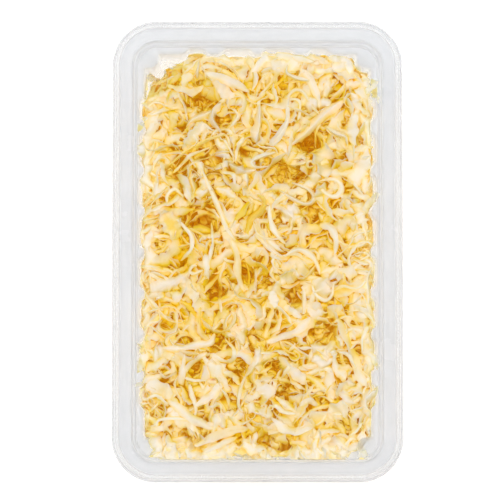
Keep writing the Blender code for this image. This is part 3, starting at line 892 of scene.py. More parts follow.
# %% Shreds that stand out
# Kind, half widths in mm at the start, middle and end, tone, and points in mm
MARKED = (
    ("leaf_pieces", (2, 2.4, 1.5), 0.25, ((-27, 99), (-21, 100), (-13, 97))),
    ("broad_shreds", (1.5, 2.6, 1.2), 0.15, ((-26, 90), (-12, 85), (-4, 81))),
    ("leaf_pieces", (1.8, 3.2, 2), 0.3, ((-22, 86), (-17, 81), (-11, 76))),
    ("broad_shreds", (2, 2, 0.7), 0, ((-18, 75), (-22, 72), (-23, 67), (-20, 63), (-18, 60))),
    ("fine_threads", (0.8, 0.7, 0.5), 0.05, ((-40, 80), (-36, 73), (-35, 66))),
    ("leaf_pieces", (1.2, 2.4, 1.4), 0.35, ((-45, 84), (-38, 82), (-32, 80), (-27, 84))),
    ("fine_threads", (0.3, 0.7, 0.8), 0.1, ((-29, 95), (-30, 87))),
    ("narrow_shreds", (1.1, 1.1, 0.5), 0, ((-7, 58), (-10, 52), (-11, 45))),
    ("narrow_shreds", (0.7, 0.9, 0.6), 0.1, ((-17, 57), (-12, 48))),
    ("narrow_shreds", (0.7, 1, 0.6), 0.75, ((-44, 44), (-35, 51), (-26, 56), (-16, 59))),
    ("narrow_shreds", (0.8, 1, 0.5), 0.45, ((-42, 40), (-34, 48), (-23, 53))),
    ("fine_threads", (0.6, 0.7, 0.4), 0.6, ((-39, 40), (-30, 46), (-22, 49))),
    ("broad_shreds", (1.2, 2.4, 3.6), 0.2, ((1, 74), (1, 66), (-1, 55))),
    ("leaf_pieces", (1.5, 3, 2), 0.3, ((-58, 55), (-58, 48))),
    ("broad_shreds", (1, 1.8, 1.5), 0.3, ((-60, 60), (-58, 65), (-55, 68))),
    ("broad_shreds", (2.4, 2, 1.4), 0.25, ((9, 100), (20, 98), (28, 96))),
    ("broad_shreds", (1.8, 2.2, 1), 0, ((22, 92), (26, 87), (29, 81), (31, 73))),
    ("broad_shreds", (0.4, 1.2, 2.4), 0, ((16, 81), (15, 73), (15, 65), (11, 59), (7, 53))),
    ("broad_shreds", (2.8, 2.4, 1.2), 0.1, ((42, 76), (34, 70), (26, 62), (17, 54))),
    ("narrow_shreds", (0.8, 0.9, 0.8), 0.3, ((16, 76), (18, 77), (21, 76), (21, 70), (20, 66))),
    ("fine_threads", (0.4, 0.6, 0.4), 0.1, ((15, 73), (23, 70), (27, 68))),
    ("narrow_shreds", (0.8, 1.2, 0.8), 0.4, ((14, 77), (18, 82), (23, 81), (26, 75), (31, 69))),
    ("leaf_pieces", (1.5, 2.6, 1.6), 0.25, ((35, 98), (43, 97), (46, 95), (46, 90))),
    ("leaf_pieces", (2, 3.2, 2.4), 0.4, ((48, 69), (47, 61), (47, 54))),
    ("narrow_shreds", (1.3, 1.2, 0.6), 0, ((34, 63), (39, 59), (44, 58), (45, 53))),
    ("narrow_shreds", (0.6, 1.2, 1), 0.2, ((15, 94), (14, 90), (20, 87), (26, 86))),
    ("leaf_pieces", (5.5, 6.2, 2), 0.35, ((32, 53), (32, 45), (34, 37))),
    ("narrow_shreds", (1.3, 1.2, 0.5), 0, ((9, 50), (2, 48), (-4, 45), (-1, 42), (6, 43))),
    ("broad_shreds", (1.5, 2.8, 1.2), 0.1, ((-14, 44), (-7, 40), (-1, 41))),
    ("narrow_shreds", (0.8, 1.3, 1), 0.05,
     ((17, 35), (25, 32), (29, 28), (27, 24), (23, 24), (17, 27), (11, 31))),
    ("narrow_shreds", (0.6, 1.6, 0.7), 0.15,
     ((30, 35), (35, 37), (41, 36), (43, 32), (39, 27), (32, 30), (30, 34))),
    ("broad_shreds", (1, 1.9, 2.2), 0.8, ((0, 28), (4, 26), (3, 21), (-4, 17), (-5, 9))),
    ("broad_shreds", (1.6, 1.8, 1), 1, ((-4, 25), (-7, 20), (-11, 16))),
    ("narrow_shreds", (0.6, 1.4, 0.8), 0.1, ((6, 24), (6, 18), (8, 10), (14, 4))),
    ("fine_threads", (0.6, 0.7, 0.5), 0.1, ((-2, 15), (0, 9), (6, 6), (14, 7))),
    ("broad_shreds", (2.2, 1.8, 0.6), 0, ((31, 14), (36, 13), (39, 7), (39, 2), (38, -2))),
    ("broad_shreds", (0.6, 1.8, 0.7), 0.05, ((13, -3), (20, 2), (27, -1), (30, -6), (31, -11))),
    ("broad_shreds", (1.2, 2, 1.2), 0.5, ((-13, 6), (-10, -2), (-10, -10), (-7, -19))),
    ("leaf_pieces", (3, 4.5, 3), 0.45, ((12, -9), (19, -7), (25, -11))),
    ("broad_shreds", (1.8, 1.4, 0.6), 0, ((-47, 45), (-47, 38), (-44, 34))),
    ("narrow_shreds", (0.7, 1.1, 0.8), 0.35, ((-45, 24), (-45, 29), (-41, 32), (-37, 28))),
    ("broad_shreds", (2.2, 2.6, 1.8), 0.05, ((-40, 39), (-36, 34), (-33, 26))),
    ("narrow_shreds", (0.8, 1.4, 1.2), 0.3, ((-28, 42), (-25, 35), (-20, 24), (-16, 13), (-11, 6))),
    ("broad_shreds", (1.2, 2.6, 1.4), 0.15, ((-21, 32), (-16, 31), (-11, 27))),
    ("narrow_shreds", (0.6, 1, 0.6), 0.1, ((-18, 40), (-12, 39), (-11, 33))),
    ("narrow_shreds", (0.5, 1, 0.5), 0, ((-26, 23), (-22, 21), (-19, 17))),
    ("narrow_shreds", (0.8, 1, 0.8), 0.4, ((-27, -9), (-31, -11), (-34, -10), (-33, -7), (-30, -7))),
    ("narrow_shreds", (0.5, 0.9, 1.2), 0.15, ((-23, 15), (-22, 5), (-25, -9))),
    ("leaf_pieces", (3, 5, 3), 0.75, ((-47, 20), (-43, 14), (-39, 7))),
    ("narrow_shreds", (0.7, 1.2, 0.7), 0.1, ((-40, 16), (-33, 9), (-32, 2), (-38, -4))),
    ("narrow_shreds", (0.9, 0.9, 0.9), 1, ((-58, -7), (-53, -7), (-47, -8))),
    ("broad_shreds", (1.4, 1.6, 1.2), 0.1, ((-26, -1), (-25, -13))),
    ("leaf_pieces", (3.5, 5, 1.5), 0.4, ((29, -13), (32, -18), (34, -24))),
    ("narrow_shreds", (0.8, 1, 0.8), 0.05, ((27, -16), (29, -22), (34, -25), (37, -22), (38, -16))),
    ("broad_shreds", (1.4, 1.8, 2.2), 0.2, ((4, -45), (13, -42), (20, -40), (26, -33))),
    ("broad_shreds", (1.6, 1.8, 1.2), 0.15, ((13, -27), (22, -33))),
    ("narrow_shreds", (1, 1.2, 0.6), 0.1, ((8, -26), (14, -31), (17, -36))),
    ("broad_shreds", (2, 2.2, 2.6), 0.55, ((40, -33), (43, -41), (46, -48), (49, -57), (53, -67))),
    ("narrow_shreds", (0.6, 1.1, 0.6), 0.1, ((40, -50), (45, -51), (49, -58))),
    ("leaf_pieces", (1.4, 1.8, 1.4), 0, ((37, -49), (39, -53))),
    ("broad_shreds", (1.4, 1.8, 3), 0.15, ((38, -53), (39, -59), (44, -63))),
    ("broad_shreds", (1.4, 2, 3.6), 0, ((11, -52), (15, -57), (20, -62), (24, -64))),
    ("broad_shreds", (2.2, 2.2, 0.9), 0, ((1, -48), (0, -55), (-6, -62))),
    ("narrow_shreds", (0.9, 1.3, 0.7), 0.1, ((-6, -62), (-9, -69), (-10, -77), (-7, -80))),
    ("fine_threads", (0.4, 0.5, 0.4), 0.9, ((-1, -41), (4, -44), (5, -48))),
    ("narrow_shreds", (1.6, 1, 0.5), 0.3, ((55, -37), (52, -43), (52, -51))),
    ("narrow_shreds", (1, 1.3, 1.1), 0, ((23, -16), (23, -23), (23, -31))),
    ("leaf_pieces", (3, 4.5, 2), 0.1, ((11, -14), (16, -12), (20, -10))),
    ("leaf_pieces", (1.5, 2.6, 1.6), 0.15, ((7, -19), (9, -28))),
    ("fine_threads", (0.7, 0.8, 0.5), 0, ((-1, -8), (-1, -21))),
    ("broad_shreds", (1.4, 1.9, 1.6), 0.05, ((-47, -48), (-40, -49), (-30, -46), (-23, -46), (-21, -41))),
    ("broad_shreds", (1.2, 1.6, 1), 0.1, ((-25, -50), (-31, -54), (-36, -59), (-38, -65))),
    ("broad_shreds", (0.5, 1.4, 2), 0, ((-36, -51), (-37, -58), (-38, -66))),
    ("narrow_shreds", (1.4, 1.1, 0.5), 0, ((-34, -66), (-32, -73), (-30, -78), (-31, -82), (-33, -84))),
    ("broad_shreds", (1.2, 2.2, 1.8), 0.05, ((-31, -77), (-25, -73), (-21, -70), (-18, -65))),
    ("narrow_shreds", (0.8, 0.8, 0.4), 0.1, ((-36, -63), (-31, -64), (-25, -64))),
    ("narrow_shreds", (0.6, 1, 0.4), 0, ((-18, -68), (-15, -72), (-14, -78))),
    ("broad_shreds", (1, 1.6, 1.2), 0.3, ((-17, -60), (-12, -61), (-9, -66))),
    ("narrow_shreds", (0.7, 1, 0.8), 0.1, ((-50, -87), (-50, -84), (-45, -83), (-38, -83), (-33, -84))),
    ("broad_shreds", (1.6, 2.6, 1.8), 0.3, ((-45, -73), (-38, -79), (-31, -84), (-22, -88))),
    ("broad_shreds", (1.4, 2.4, 1.4), 0.6, ((-31, -97), (-23, -93), (-13, -89), (-4, -88))),
    ("broad_shreds", (1, 1.6, 1), 0.45, ((-28, -101), (-18, -96), (-10, -92))),
    ("broad_shreds", (1.4, 1.4, 1.2), 0.2, ((-1, -90), (-2, -98))),
    ("leaf_pieces", (2.6, 1.6, 0.3), 0.3, ((-14, -103), (-12, -106), (-10, -109))),
    ("fine_threads", (0.4, 0.45, 0.4), 1,
     ((-8, -106), (-4, -106), (0, -105), (4, -106), (7, -104),
      (10, -106), (13, -105), (16, -106), (20, -106), (22, -104))),
    ("broad_shreds", (1.2, 2, 1.2), 0.3, ((-61, -67), (-54, -63), (-46, -62))),
    ("fine_threads", (0.5, 0.7, 0.6), 0.1, ((-50, -58), (-46, -63), (-40, -60))),
    ("leaf_pieces", (3, 4.2, 3), 0.55, ((-55, -66), (-49, -68), (-42, -72))),
    ("narrow_shreds", (0.6, 1.2, 1), 0.15, ((-55, -73), (-50, -71), (-44, -77))),
    ("broad_shreds", (0.2, 1.4, 2), 0.35, ((-59, -101), (-57, -97), (-55, -94))),
    ("leaf_pieces", (3, 4.6, 3), 0.75, ((-54, -93), (-51, -96), (-48, -100))),
    ("broad_shreds", (2, 2.6, 2), 0.3, ((-45, -92), (-42, -99), (-41, -105))),
    ("leaf_pieces", (2.6, 3.6, 2.4), 0.25, ((-36, -100), (-30, -102), (-25, -104))),
    ("broad_shreds", (1.6, 2.6, 2), 0, ((8, -83), (13, -89), (20, -90), (26, -87))),
    ("broad_shreds", (1.2, 1.8, 1.2), 0, ((21, -77), (25, -74), (30, -76))),
    ("narrow_shreds", (1, 1.4, 0.8), 0.05, ((9, -72), (15, -77), (19, -80))),
    ("narrow_shreds", (1, 1.3, 0.6), 0.05, ((8, -76), (13, -80), (19, -81))),
    ("leaf_pieces", (3, 4.8, 3), 0.45, ((35, -82), (40, -79), (45, -78))),
    ("broad_shreds", (1.2, 1.8, 1.6), 0.2, ((28, -93), (34, -89), (41, -89))),
    ("narrow_shreds", (0.6, 0.9, 0.6), 0.7, ((45, -92), (49, -89), (52, -85))),
    ("narrow_shreds", (0.8, 1, 0.9), 0.05, ((20, -97), (22, -102), (26, -105))),
    ("narrow_shreds", (0.8, 1, 0.8), 0.05, ((29, -98), (34, -103))),
)
MARKED_STEPS = 60
MARKED_SOFT = 13
MARKED_SAG = 0.6
MARKED_RISE = 1.5 * MM
OVER_SAG = 0.8
OVER_RISE = 1.2 * MM


def through(points):
    """A smooth plan through a few points."""
    points = np.array(points, float) * MM
    run = np.concatenate([[0.0], np.cumsum(np.linalg.norm(np.diff(points, axis=0), axis=1))])
    even = np.linspace(0, run[-1], MARKED_STEPS)
    lines = []
    for axis in (0, 1):
        line = np.interp(even, run, points[:, axis])
        line = np.pad(line, MARKED_SOFT // 2, mode="reflect", reflect_type="odd")
        lines.append(np.convolve(line, np.ones(MARKED_SOFT) / MARKED_SOFT, "valid"))
    picked = np.round(np.linspace(0, MARKED_STEPS - 1, POINTS)).astype(int)
    return np.stack(lines, 1)[picked]


def lay_marked(laid):
    """Lay the shreds that stand out on top of the others."""
    rng = np.random.default_rng(SEED + 2)
    for kind, widths, tone, points in MARKED:
        plan = through(points)
        half_width = np.interp(ALONG, (0, 0.5, 1), widths) * MM
        half_width = half_width * (1 - 0.5 * np.abs(2 * ALONG - 1) ** 8)
        length = np.linalg.norm(np.diff(plan, axis=0), axis=1).sum()
        roll = rng.normal(0, 0.15)
        swing = rng.normal(0, 0.25)
        roll = roll + swing * np.sin(math.pi * (ALONG * rng.uniform(0.5, 1.5) + rng.random()))
        lift = rng.uniform(0.1, 0.7) * MM * np.sin(math.pi * ALONG)
        thick = KINDS[kind]["thick"] * MM
        most = LEDGE_LEVEL + MARKED_RISE
        height, turn, side = rested(plan, half_width, thick, roll, lift, MARKED_SAG, most)
        stamp(plan, side, height, turn, half_width, thick)
        tone = 0.15 + 0.85 * tone
        laid[kind].append(strand_facts(rng, kind, plan, height, turn, half_width, length, tone))


def lay_over_edge(laid):
    """Lay a few shreds that lean on the ledge, most of them at the front."""
    rng = np.random.default_rng(SEED + 5)
    for number in range(OVER_EDGE):
        kind = OVER_KINDS[rng.integers(len(OVER_KINDS))]
        length = rng.uniform(*OVER_LENGTH) * MM
        plan = curled_plan(rng, length, rng.normal(0, 0.9), rng.normal(0, 0.4))
        plan = turned(plan, rng.normal(0, 0.6))
        if number < OVER_FRONT:
            middle = np.array([rng.uniform(-52, 52), rng.uniform(-102.5, -99)]) * MM
        else:
            plan = plan[:, ::-1]
            side = 1 if rng.random() < 0.7 else -1
            middle = np.array([side * rng.uniform(55, 58), rng.uniform(-90, 90)]) * MM
        plan = plan + middle
        half_width = width_line(rng, kind)
        roll = rng.normal(0, 0.2, POINTS)
        most = LEDGE_LEVEL + OVER_RISE
        height, turn, side = rested(plan, half_width, OVER_THICK, roll, 0.0, OVER_SAG, most)
        stamp(plan, side, height, turn, half_width, OVER_THICK)
        tone = leaf_tone(plan, rng)
        laid[kind].append(strand_facts(rng, kind, plan, height, turn, half_width, length, tone))


laid = {name: [] for name in KINDS}
line_hollows(laid)
fill_heap(laid)
print("laid in the first round:", sum(len(strands) for strands in laid.values()))
fill_gaps(laid)
lay_over_edge(laid)
lay_marked(laid)
for name, strands in laid.items():
    print(name, len(strands))
lack = (goal - top)[heap_margin(grid_x, grid_y) > 4 * MM]
print("still missing, mean:", round(lack.mean() / MM, 2), "mm, spread", round(lack.std() / MM, 2))

# %% [markdown]
# ## Where the wall stops a shred
# Wet shreds press flat against the wall, into its flutes and round its foot. So
# a point that would go through the sheet is moved back to its surface. The corner
# lugs are followed only roughly: some points end up as far as 2.4 mm behind them.
# Above the shelf a shred may reach out over the ledge, as far as the fine bead.


# %% The wall as a limit
PRESS = 0.12 * MM
OVER_LEDGE = 11.5 * MM
HIGHEST_SHRED = 49.4 * MM
SHELF_STEP = 0.4 * MM
FLUTE_SHARE = 0.95
LUG_SHARE = 0.93
LUG_CUT = 1.35


def held_by_wall(place):
    """Move points that are outside the tray's hollow back to the wall."""
    x, y = place[..., 0], place[..., 1]
    z = np.clip(place[..., 2], FLOOR_LEVEL - PRESS, HIGHEST_SHRED)
    rib = RIB_DEPTH * np.interp(z, (*FADE_LEVELS, SHELF_LEVEL + SHELF_STEP), (*RIB_FADE, 0.0))
    inset = np.where(z > SHELF_LEVEL, LEDGE_END, FLUTE_INSET + come_in(z))
    inset = np.where(z > LEDGE_LEVEL, OVER_LEDGE, inset)
    side_x = HALF_WIDTH - inset + PRESS
    side_y = HALF_LENGTH - inset + PRESS
    limit_x = side_x - rib * rib_share(np.abs(y), LONG_FLUTES, FLUTE_SHARE)
    limit_y = side_y - rib * rib_share(np.abs(x), SHORT_FLUTES, FLUTE_SHARE)
    x = np.clip(x, -limit_x, limit_x)
    y = np.clip(y, -limit_y, limit_y)
    lug = np.where(z > SHELF_LEVEL + SHELF_STEP, 0.0, LUG_SIDE * LUG_SHARE)
    over = np.abs(x) + np.abs(y) - (side_x + side_y - lug * LUG_CUT)
    over = np.minimum(over, np.minimum(np.abs(x) - side_x + lug, np.abs(y) - side_y + lug))
    over = np.maximum(over, 0.0) / 2
    x = x - np.sign(x) * over
    y = y - np.sign(y) * over
    outer = np.minimum(HALF_WIDTH - np.abs(x), HALF_LENGTH - np.abs(y)) < LEDGE_END - 0.1 * MM
    z = np.where(outer & (z > SHELF_LEVEL), np.maximum(z, LEDGE_LEVEL), z)
    return np.stack([x, y, z], -1)


# %% [markdown]
# ## From a flat strip to a thousand shreds
# Each kind starts as one flat strip: a grid operator, given its thickness by
# solidify, with only a few dozen faces because it is repeated so often. An
# Array modifier lays out one copy for every shred, which also numbers their
# points alike. Then each copy is bent onto its own path, narrowed, cupped and
# rolled by moving its points. On the inner side of a tight bend the strip is
# kept narrower than the bend's radius, or it would fold over itself.


# %% Strips
SLIT_START = 0.12


def strip(across, slit=False):
    """A flat closed strip, one unit long and wide, with its atlas coordinates."""
    bm = bmesh.new()
    bmesh.ops.create_grid(bm, x_segments=POINTS - 1, y_segments=across, size=0.5)
    if slit:
        middles = [(face, face.calc_center_median()) for face in bm.faces]
        inner = [(face, spot) for face, spot in middles if abs(spot.y) < 0.5 / across]
        cut = [face for face, spot in inner if spot.x > SLIT_START]
        bmesh.ops.delete(bm, geom=cut, context="FACES")
    bmesh.ops.solidify(bm, geom=bm.faces[:], thickness=1.0)
    bmesh.ops.recalc_face_normals(bm, faces=bm.faces)
    sheet = bm.loops.layers.uv.new("OFBake")
    for face in bm.faces:
        upright = face.normal.z
        middle = face.calc_center_median().z
        for corner in face.loops:
            u = corner.vert.co.x + 0.5
            v = corner.vert.co.y + 0.5
            if upright > 0.5:
                corner[sheet].uv = (u, 0.02 + 0.44 * v)
            elif upright < -0.5:
                corner[sheet].uv = (u, 0.54 + 0.44 * v)
            else:
                corner[sheet].uv = (u, 0.47 + 0.05 * (corner.vert.co.z > middle))
    return bm


# %% Copies in a row, then bent onto their paths
ATLAS_MARGIN = 0.04
SIDE_LIGHT = 12 * MM
SHADE_DISTANCES = (2 * MM, 3.5 * MM, 5.5 * MM, 9 * MM)
AWAY_SHADE = 0.78
LEVEL_ENOUGH = 0.99
MOST_AWAY = 0.46
INNER_SHARE = 0.8
GLOW_MIDDLE = 0.22
SHARP_ANGLE = math.radians(55)
TINY = 1e-9


def rows_of(name, bm, count, finish):
    """Lay out `count` copies of a strip with an Array modifier, and apply it."""
    piece = piece_from(bm, name, finish, outwards=False)
    rows = piece.modifiers.new("rows", "ARRAY")
    rows.fit_type = "FIXED_COUNT"
    rows.count = count
    rows.use_relative_offset = False
    rows.use_constant_offset = True
    rows.constant_offset_displace = (0.0, 0.0, 3.0)
    return applied(piece)


def unit(vectors):
    """Vectors of length one."""
    return vectors / np.maximum(np.linalg.norm(vectors, axis=-1, keepdims=True), 1e-12)


def frames_along(centre):
    """Forward and level sideways directions along paths of shape (count, points, 3)."""
    ahead = unit(np.gradient(centre, axis=1))
    side = unit(np.stack([-ahead[..., 1], ahead[..., 0], np.zeros_like(ahead[..., 0])], -1))
    return ahead, side, np.cross(ahead, side)


def atlas(piece, count):
    """Give every copy its own cell of the UV map."""
    columns = math.ceil(math.sqrt(count / 4))
    rows = math.ceil(count / columns)
    sheet = piece.data.uv_layers["OFBake"]
    uv = np.zeros(len(sheet.data) * 2, np.float32)
    sheet.data.foreach_get("uv", uv)
    uv = uv.reshape(count, -1, 2)
    number = np.arange(count)
    corner = np.stack([number % columns / columns, number // columns / rows], 1)
    scale = np.array([1 / columns, 1 / rows]) * (1 - ATLAS_MARGIN)
    uv = corner[:, None] + uv * scale
    sheet.data.foreach_set("uv", uv.ravel().astype(np.float32))


def store(piece, name, kind, values):
    """Write one attribute value for each point."""
    made = piece.data.attributes.new(name, kind, "POINT")
    field = "value" if kind == "FLOAT" else "vector"
    made.data.foreach_set(field, np.ascontiguousarray(values, np.float32).ravel())


def shaded(x, y, z):
    """How much of the sky the heap hides from a point: 0 in the open, 1 in a pit."""
    hidden = np.zeros_like(z)
    for turn_step in range(8):
        angle = turn_step * math.pi / 4
        worst = np.zeros_like(z)
        for distance in SHADE_DISTANCES:
            level = top[cells(x + distance * math.cos(angle), y + distance * math.sin(angle))]
            worst = np.maximum(worst, np.arctan2(level - z - 0.3 * MM, distance) / (math.pi / 2))
        hidden += worst / 8
    buried = np.clip((top[cells(x, y)] - z - 0.8 * MM) / (3 * MM), 0, 1)
    return np.clip(hidden + 0.35 * buried, 0, 1)


def from_wall(x, y):
    """0 at the wall, where light comes in from the side, 1 farther in: near the wall shreds get painted
    light, a paler tone and less painted shade.
    """
    return np.clip(heap_margin(x, y) / SIDE_LIGHT, 0, 1)


def turned_away(piece, count):
    """Painted shade of points that face sideways or down, away from the light above: their colour goes
    golden.
    """
    facing = np.zeros(len(piece.data.vertices) * 3, np.float32)
    piece.data.vertex_normals.foreach_get("vector", facing)
    away = AWAY_SHADE * np.clip(LEVEL_ENOUGH - facing[2::3], 0, 1)
    return np.minimum(away, MOST_AWAY).reshape(count, -1)


def all_of(strands, key):
    """One fact of every strand as an array."""
    return np.array([strand[key] for strand in strands])


def lying(strands):
    """Middle line, sideways and upright directions of shreds that lie on the heap."""
    plan = all_of(strands, "plan")
    centre = np.concatenate([plan, all_of(strands, "height")[..., None]], -1)
    ahead, side, up = frames_along(centre)
    turn = all_of(strands, "turn")[..., None]
    wide = np.cos(turn) * side + np.sin(turn) * up
    thick = np.cos(turn) * up - np.sin(turn) * side
    return centre, ahead, wide, thick


def side_reaches(strands, course, across):
    """How far both sides of each strip reach along it: uneven, and less inside a tight bend."""
    centre, ahead, wide, _ = course
    half = all_of(strands, "half_width")
    phase = all_of(strands, "phase")[:, None]
    torn = 0.18 if across > 3 else 0.14
    left = half * (1 + torn * np.sin(2 * math.pi * (ALONG[None] * 3.1 + phase)))
    right = half * (1 + torn * np.sin(2 * math.pi * (ALONG[None] * 2.3 - phase * 2)))
    stride = np.linalg.norm(np.gradient(centre, axis=1), axis=-1)
    bending = np.sum(np.gradient(ahead, axis=1) * wide, axis=-1) / np.maximum(stride, TINY)
    left = np.minimum(left, INNER_SHARE / np.maximum(-bending, TINY))
    right = np.minimum(right, INNER_SHARE / np.maximum(bending, TINY))
    return left, right


def bend_strips(name, strands, course, across, finish, slit=False, shade=None):
    """Make one kind of shred: strips in a row, each bent onto its own course.

    The course holds the middle lines and the forward, sideways and upright directions.
    """
    centre, ahead, wide, thick = course
    count = len(strands)
    piece = rows_of(name, strip(across, slit), count, finish)
    points = len(piece.data.vertices) // count
    flat = np.zeros(points * count * 3, np.float32)
    piece.data.vertices.foreach_get("co", flat)
    flat = flat.reshape(count, points, 3)[0].astype(float)
    u = flat[:, 0] + 0.5
    v = flat[:, 1] * 2
    low, high = flat[:, 2].min(), flat[:, 2].max()
    w = 2 * (flat[:, 2] - low) / (high - low) - 1
    step = np.clip(np.round(u * (POINTS - 1)).astype(int), 0, POINTS - 1)

    phase = all_of(strands, "phase")[:, None]
    ruffle = all_of(strands, "ruffle")[:, None]
    left, right = side_reaches(strands, course, across)
    reach = np.where(v[None] < 0, left[:, step], right[:, step])
    if slit:
        spread = np.clip((u - 0.62) / 0.38, 0, 1) ** 1.5
        reach = reach * (1 + 0.9 * spread[None] * phase)
    ends = (2 * u - 1) ** 5
    cup = all_of(strands, "cup")[:, None] * (v[None] ** 2 - 0.4) * reach
    ripple = np.sin(2 * math.pi * (2.4 * u[None] + phase + 0.25 * v[None]))
    edge = 0.22 * reach * ruffle * np.abs(v[None]) * ripple
    body = all_of(strands, "thick")[:, None] / 2 * (1 - 0.85 * v[None] ** 2) * (1 - 0.4 * np.abs(ends)[None])
    slant = all_of(strands, "slant")[:, None] * ends[None] * v[None] * reach
    place = (
        centre[:, step]
        + wide[:, step] * (v[None] * reach)[..., None]
        + thick[:, step] * (w[None] * body + cup + edge)[..., None]
        + ahead[:, step] * slant[..., None]
    )
    place = held_by_wall(place)
    piece.data.vertices.foreach_set("co", place.astype(np.float32).ravel())
    piece.data.update()
    atlas(piece, count)
    # Painted glow: the middle of each strip is tinted more golden than its edges, for light that comes up
    # through it.
    middle_glow = GLOW_MIDDLE * (1 - np.abs(v[None]) ** 2) * (across > 1)
    tone = all_of(strands, "tone")[:, None] + middle_glow
    # Painted shade: colour led by how much sky a point sees and how far it turns from the light. Near the
    # wall, where light comes in from the side, shreds get less of it and a paler tone, which is painted
    # light.
    if shade is None:
        x, y, z = place[..., 0], place[..., 1], place[..., 2]
        shade = shaded(x, y, z) * from_wall(x, y) ** 0.7 + turned_away(piece, count)
        tone = tone * from_wall(x, y)
    else:
        shade = np.repeat(shade[:, None], points, 1)
    store(piece, "tone", "FLOAT", tone)
    store(piece, "shade", "FLOAT", shade)
    run = u[None] * all_of(strands, "length")[:, None] / MM
    grain = np.stack([run, v[None] * reach / MM, np.repeat(all_of(strands, "seed")[:, None], points, 1)], -1)
    store(piece, "grain", "FLOAT_VECTOR", grain)
    piece.data.shade_smooth()
    if across > 1:
        piece.data.set_sharp_from_angle(angle=SHARP_ANGLE)
    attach(piece, "root")
    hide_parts("sauerkraut")
    heap_parts.objects.link(piece)
    print(name, count, "copies,", triangles(piece), "triangles")
    print("top at", round(place[..., 2].max() / MM, 1), "mm")


# %% [markdown]
# ## Cabbage
# Fermented cabbage is pale, wet and lets light through. On top of the heap it is
# cream. Deep in the heap, light has passed through many shreds before it comes
# out, so the crevices glow golden, and the deepest are brown. That glow is mostly
# painted shade: the base colour is led by how much of the sky each point sees,
# worked out above from the map, and by how far its surface turns away from the
# light above, and goes from cream through gold to brown. A tone that each shred
# has of its own gives its real colour. Near the wall, where light comes in from
# the side, the shreds are painted paler. Fine veins run along every shred, which
# is why their noise is stretched along its own length. Besides the painted shade,
# the glow comes from two things: rays on their way from a lamp are let through a
# shred and come out golden, and light wanders a millimetre inside it, which
# softens every edge. The wet film is only on what lies open, or its white shine
# would grey the crevices.


# %% Node groups for cabbage
def group_with(name, inputs, outputs):
    """A shader node group with named sockets."""
    made = bpy.data.node_groups.new(name, "ShaderNodeTree")
    for label, kind, default in inputs:
        socket = made.interface.new_socket(name=label, in_out="INPUT", socket_type=kind)
        socket.default_value = default
    for label, kind in outputs:
        made.interface.new_socket(name=label, in_out="OUTPUT", socket_type=kind)
    return made, made.nodes.new("NodeGroupInput"), made.nodes.new("NodeGroupOutput")


def vein_group():
    """Fine veins along a shred: a height and a faint mask."""
    made, given, result = group_with(
        "veins",
        [("Fineness", "NodeSocketFloat", 1.0)],
        [("Height", "NodeSocketFloat"), ("Mask", "NodeSocketFloat")],
    )
    grain = add(made, "ShaderNodeAttribute", {"attribute_name": "grain"})
    stretch = add(made, "ShaderNodeVectorMath", {"operation": "MULTIPLY"})
    stretch.inputs[1].default_value = (0.10, 1.5, 1.0)
    join(made, grain, "Vector", stretch, 0)
    finer = add(made, "ShaderNodeVectorMath", {"operation": "SCALE"})
    join(made, stretch, 0, finer, 0)
    join(made, given, "Fineness", finer, "Scale")
    lines = add(made, "ShaderNodeTexNoise", Scale=1.0, Detail=3.0, Roughness=0.6)
    join(made, finer, 0, lines, "Vector")
    blotch = add(made, "ShaderNodeTexNoise", Scale=0.22, Detail=2.0)
    join(made, grain, "Vector", blotch, "Vector")
    join(made, lines, "Fac", result, "Height")
    join(made, blotch, "Fac", result, "Mask")
    return made


def ramp(tree, stops):
    """A colour ramp from (place, colour) stops."""
    made = add(tree, "ShaderNodeValToRGB")
    elements = made.color_ramp.elements
    while len(elements) < len(stops):
        elements.new(0.5)
    for element, (place, colour) in zip(elements, stops):
        element.position = place
        element.color = (*colour, 1.0)
    return made


veins = vein_group()
OPEN_TONES = (
    (0.0, (0.832, 0.842, 0.835)), (0.2, (0.828, 0.835, 0.81)), (0.55, (0.822, 0.827, 0.785)),
    (0.85, (0.82, 0.757, 0.56)), (1.0, (0.82, 0.66, 0.18)),
)
# Painted shade: the colours that shade leads to, golden in the crevices and brown in the pits.
PAINTED_SHADE_TONES = ((0.0, (0.868, 0.742, 0.25)), (0.6, (0.875, 0.69, 0.06)), (1.0, (0.875, 0.645, 0.002)))
PAINTED_PIT_SHADE = (0.58, 0.30, 0.001)
SHADE_SPAN = (0.05, 0.62)
PIT_SHADE_SPAN = (0.54, 0.98)
MOST_PIT_SHADE = 0.92
BLOTCH_SHARE = 0.3
LIGHT_THROUGH = (0.98, 0.93, 0.76)
WET_TINT = (1.0, 0.80, 0.40)
GLOSS = 0.15
FILM = 0.3
FILM_SPAN = (0.0, 0.4)
FILM_ROUGHNESS = 0.34
VEIN_DEPTH = 0.25 * MM
WANDER = 1.0 * MM
WANDER_COLOURS = (1.0, 0.96, 0.88)


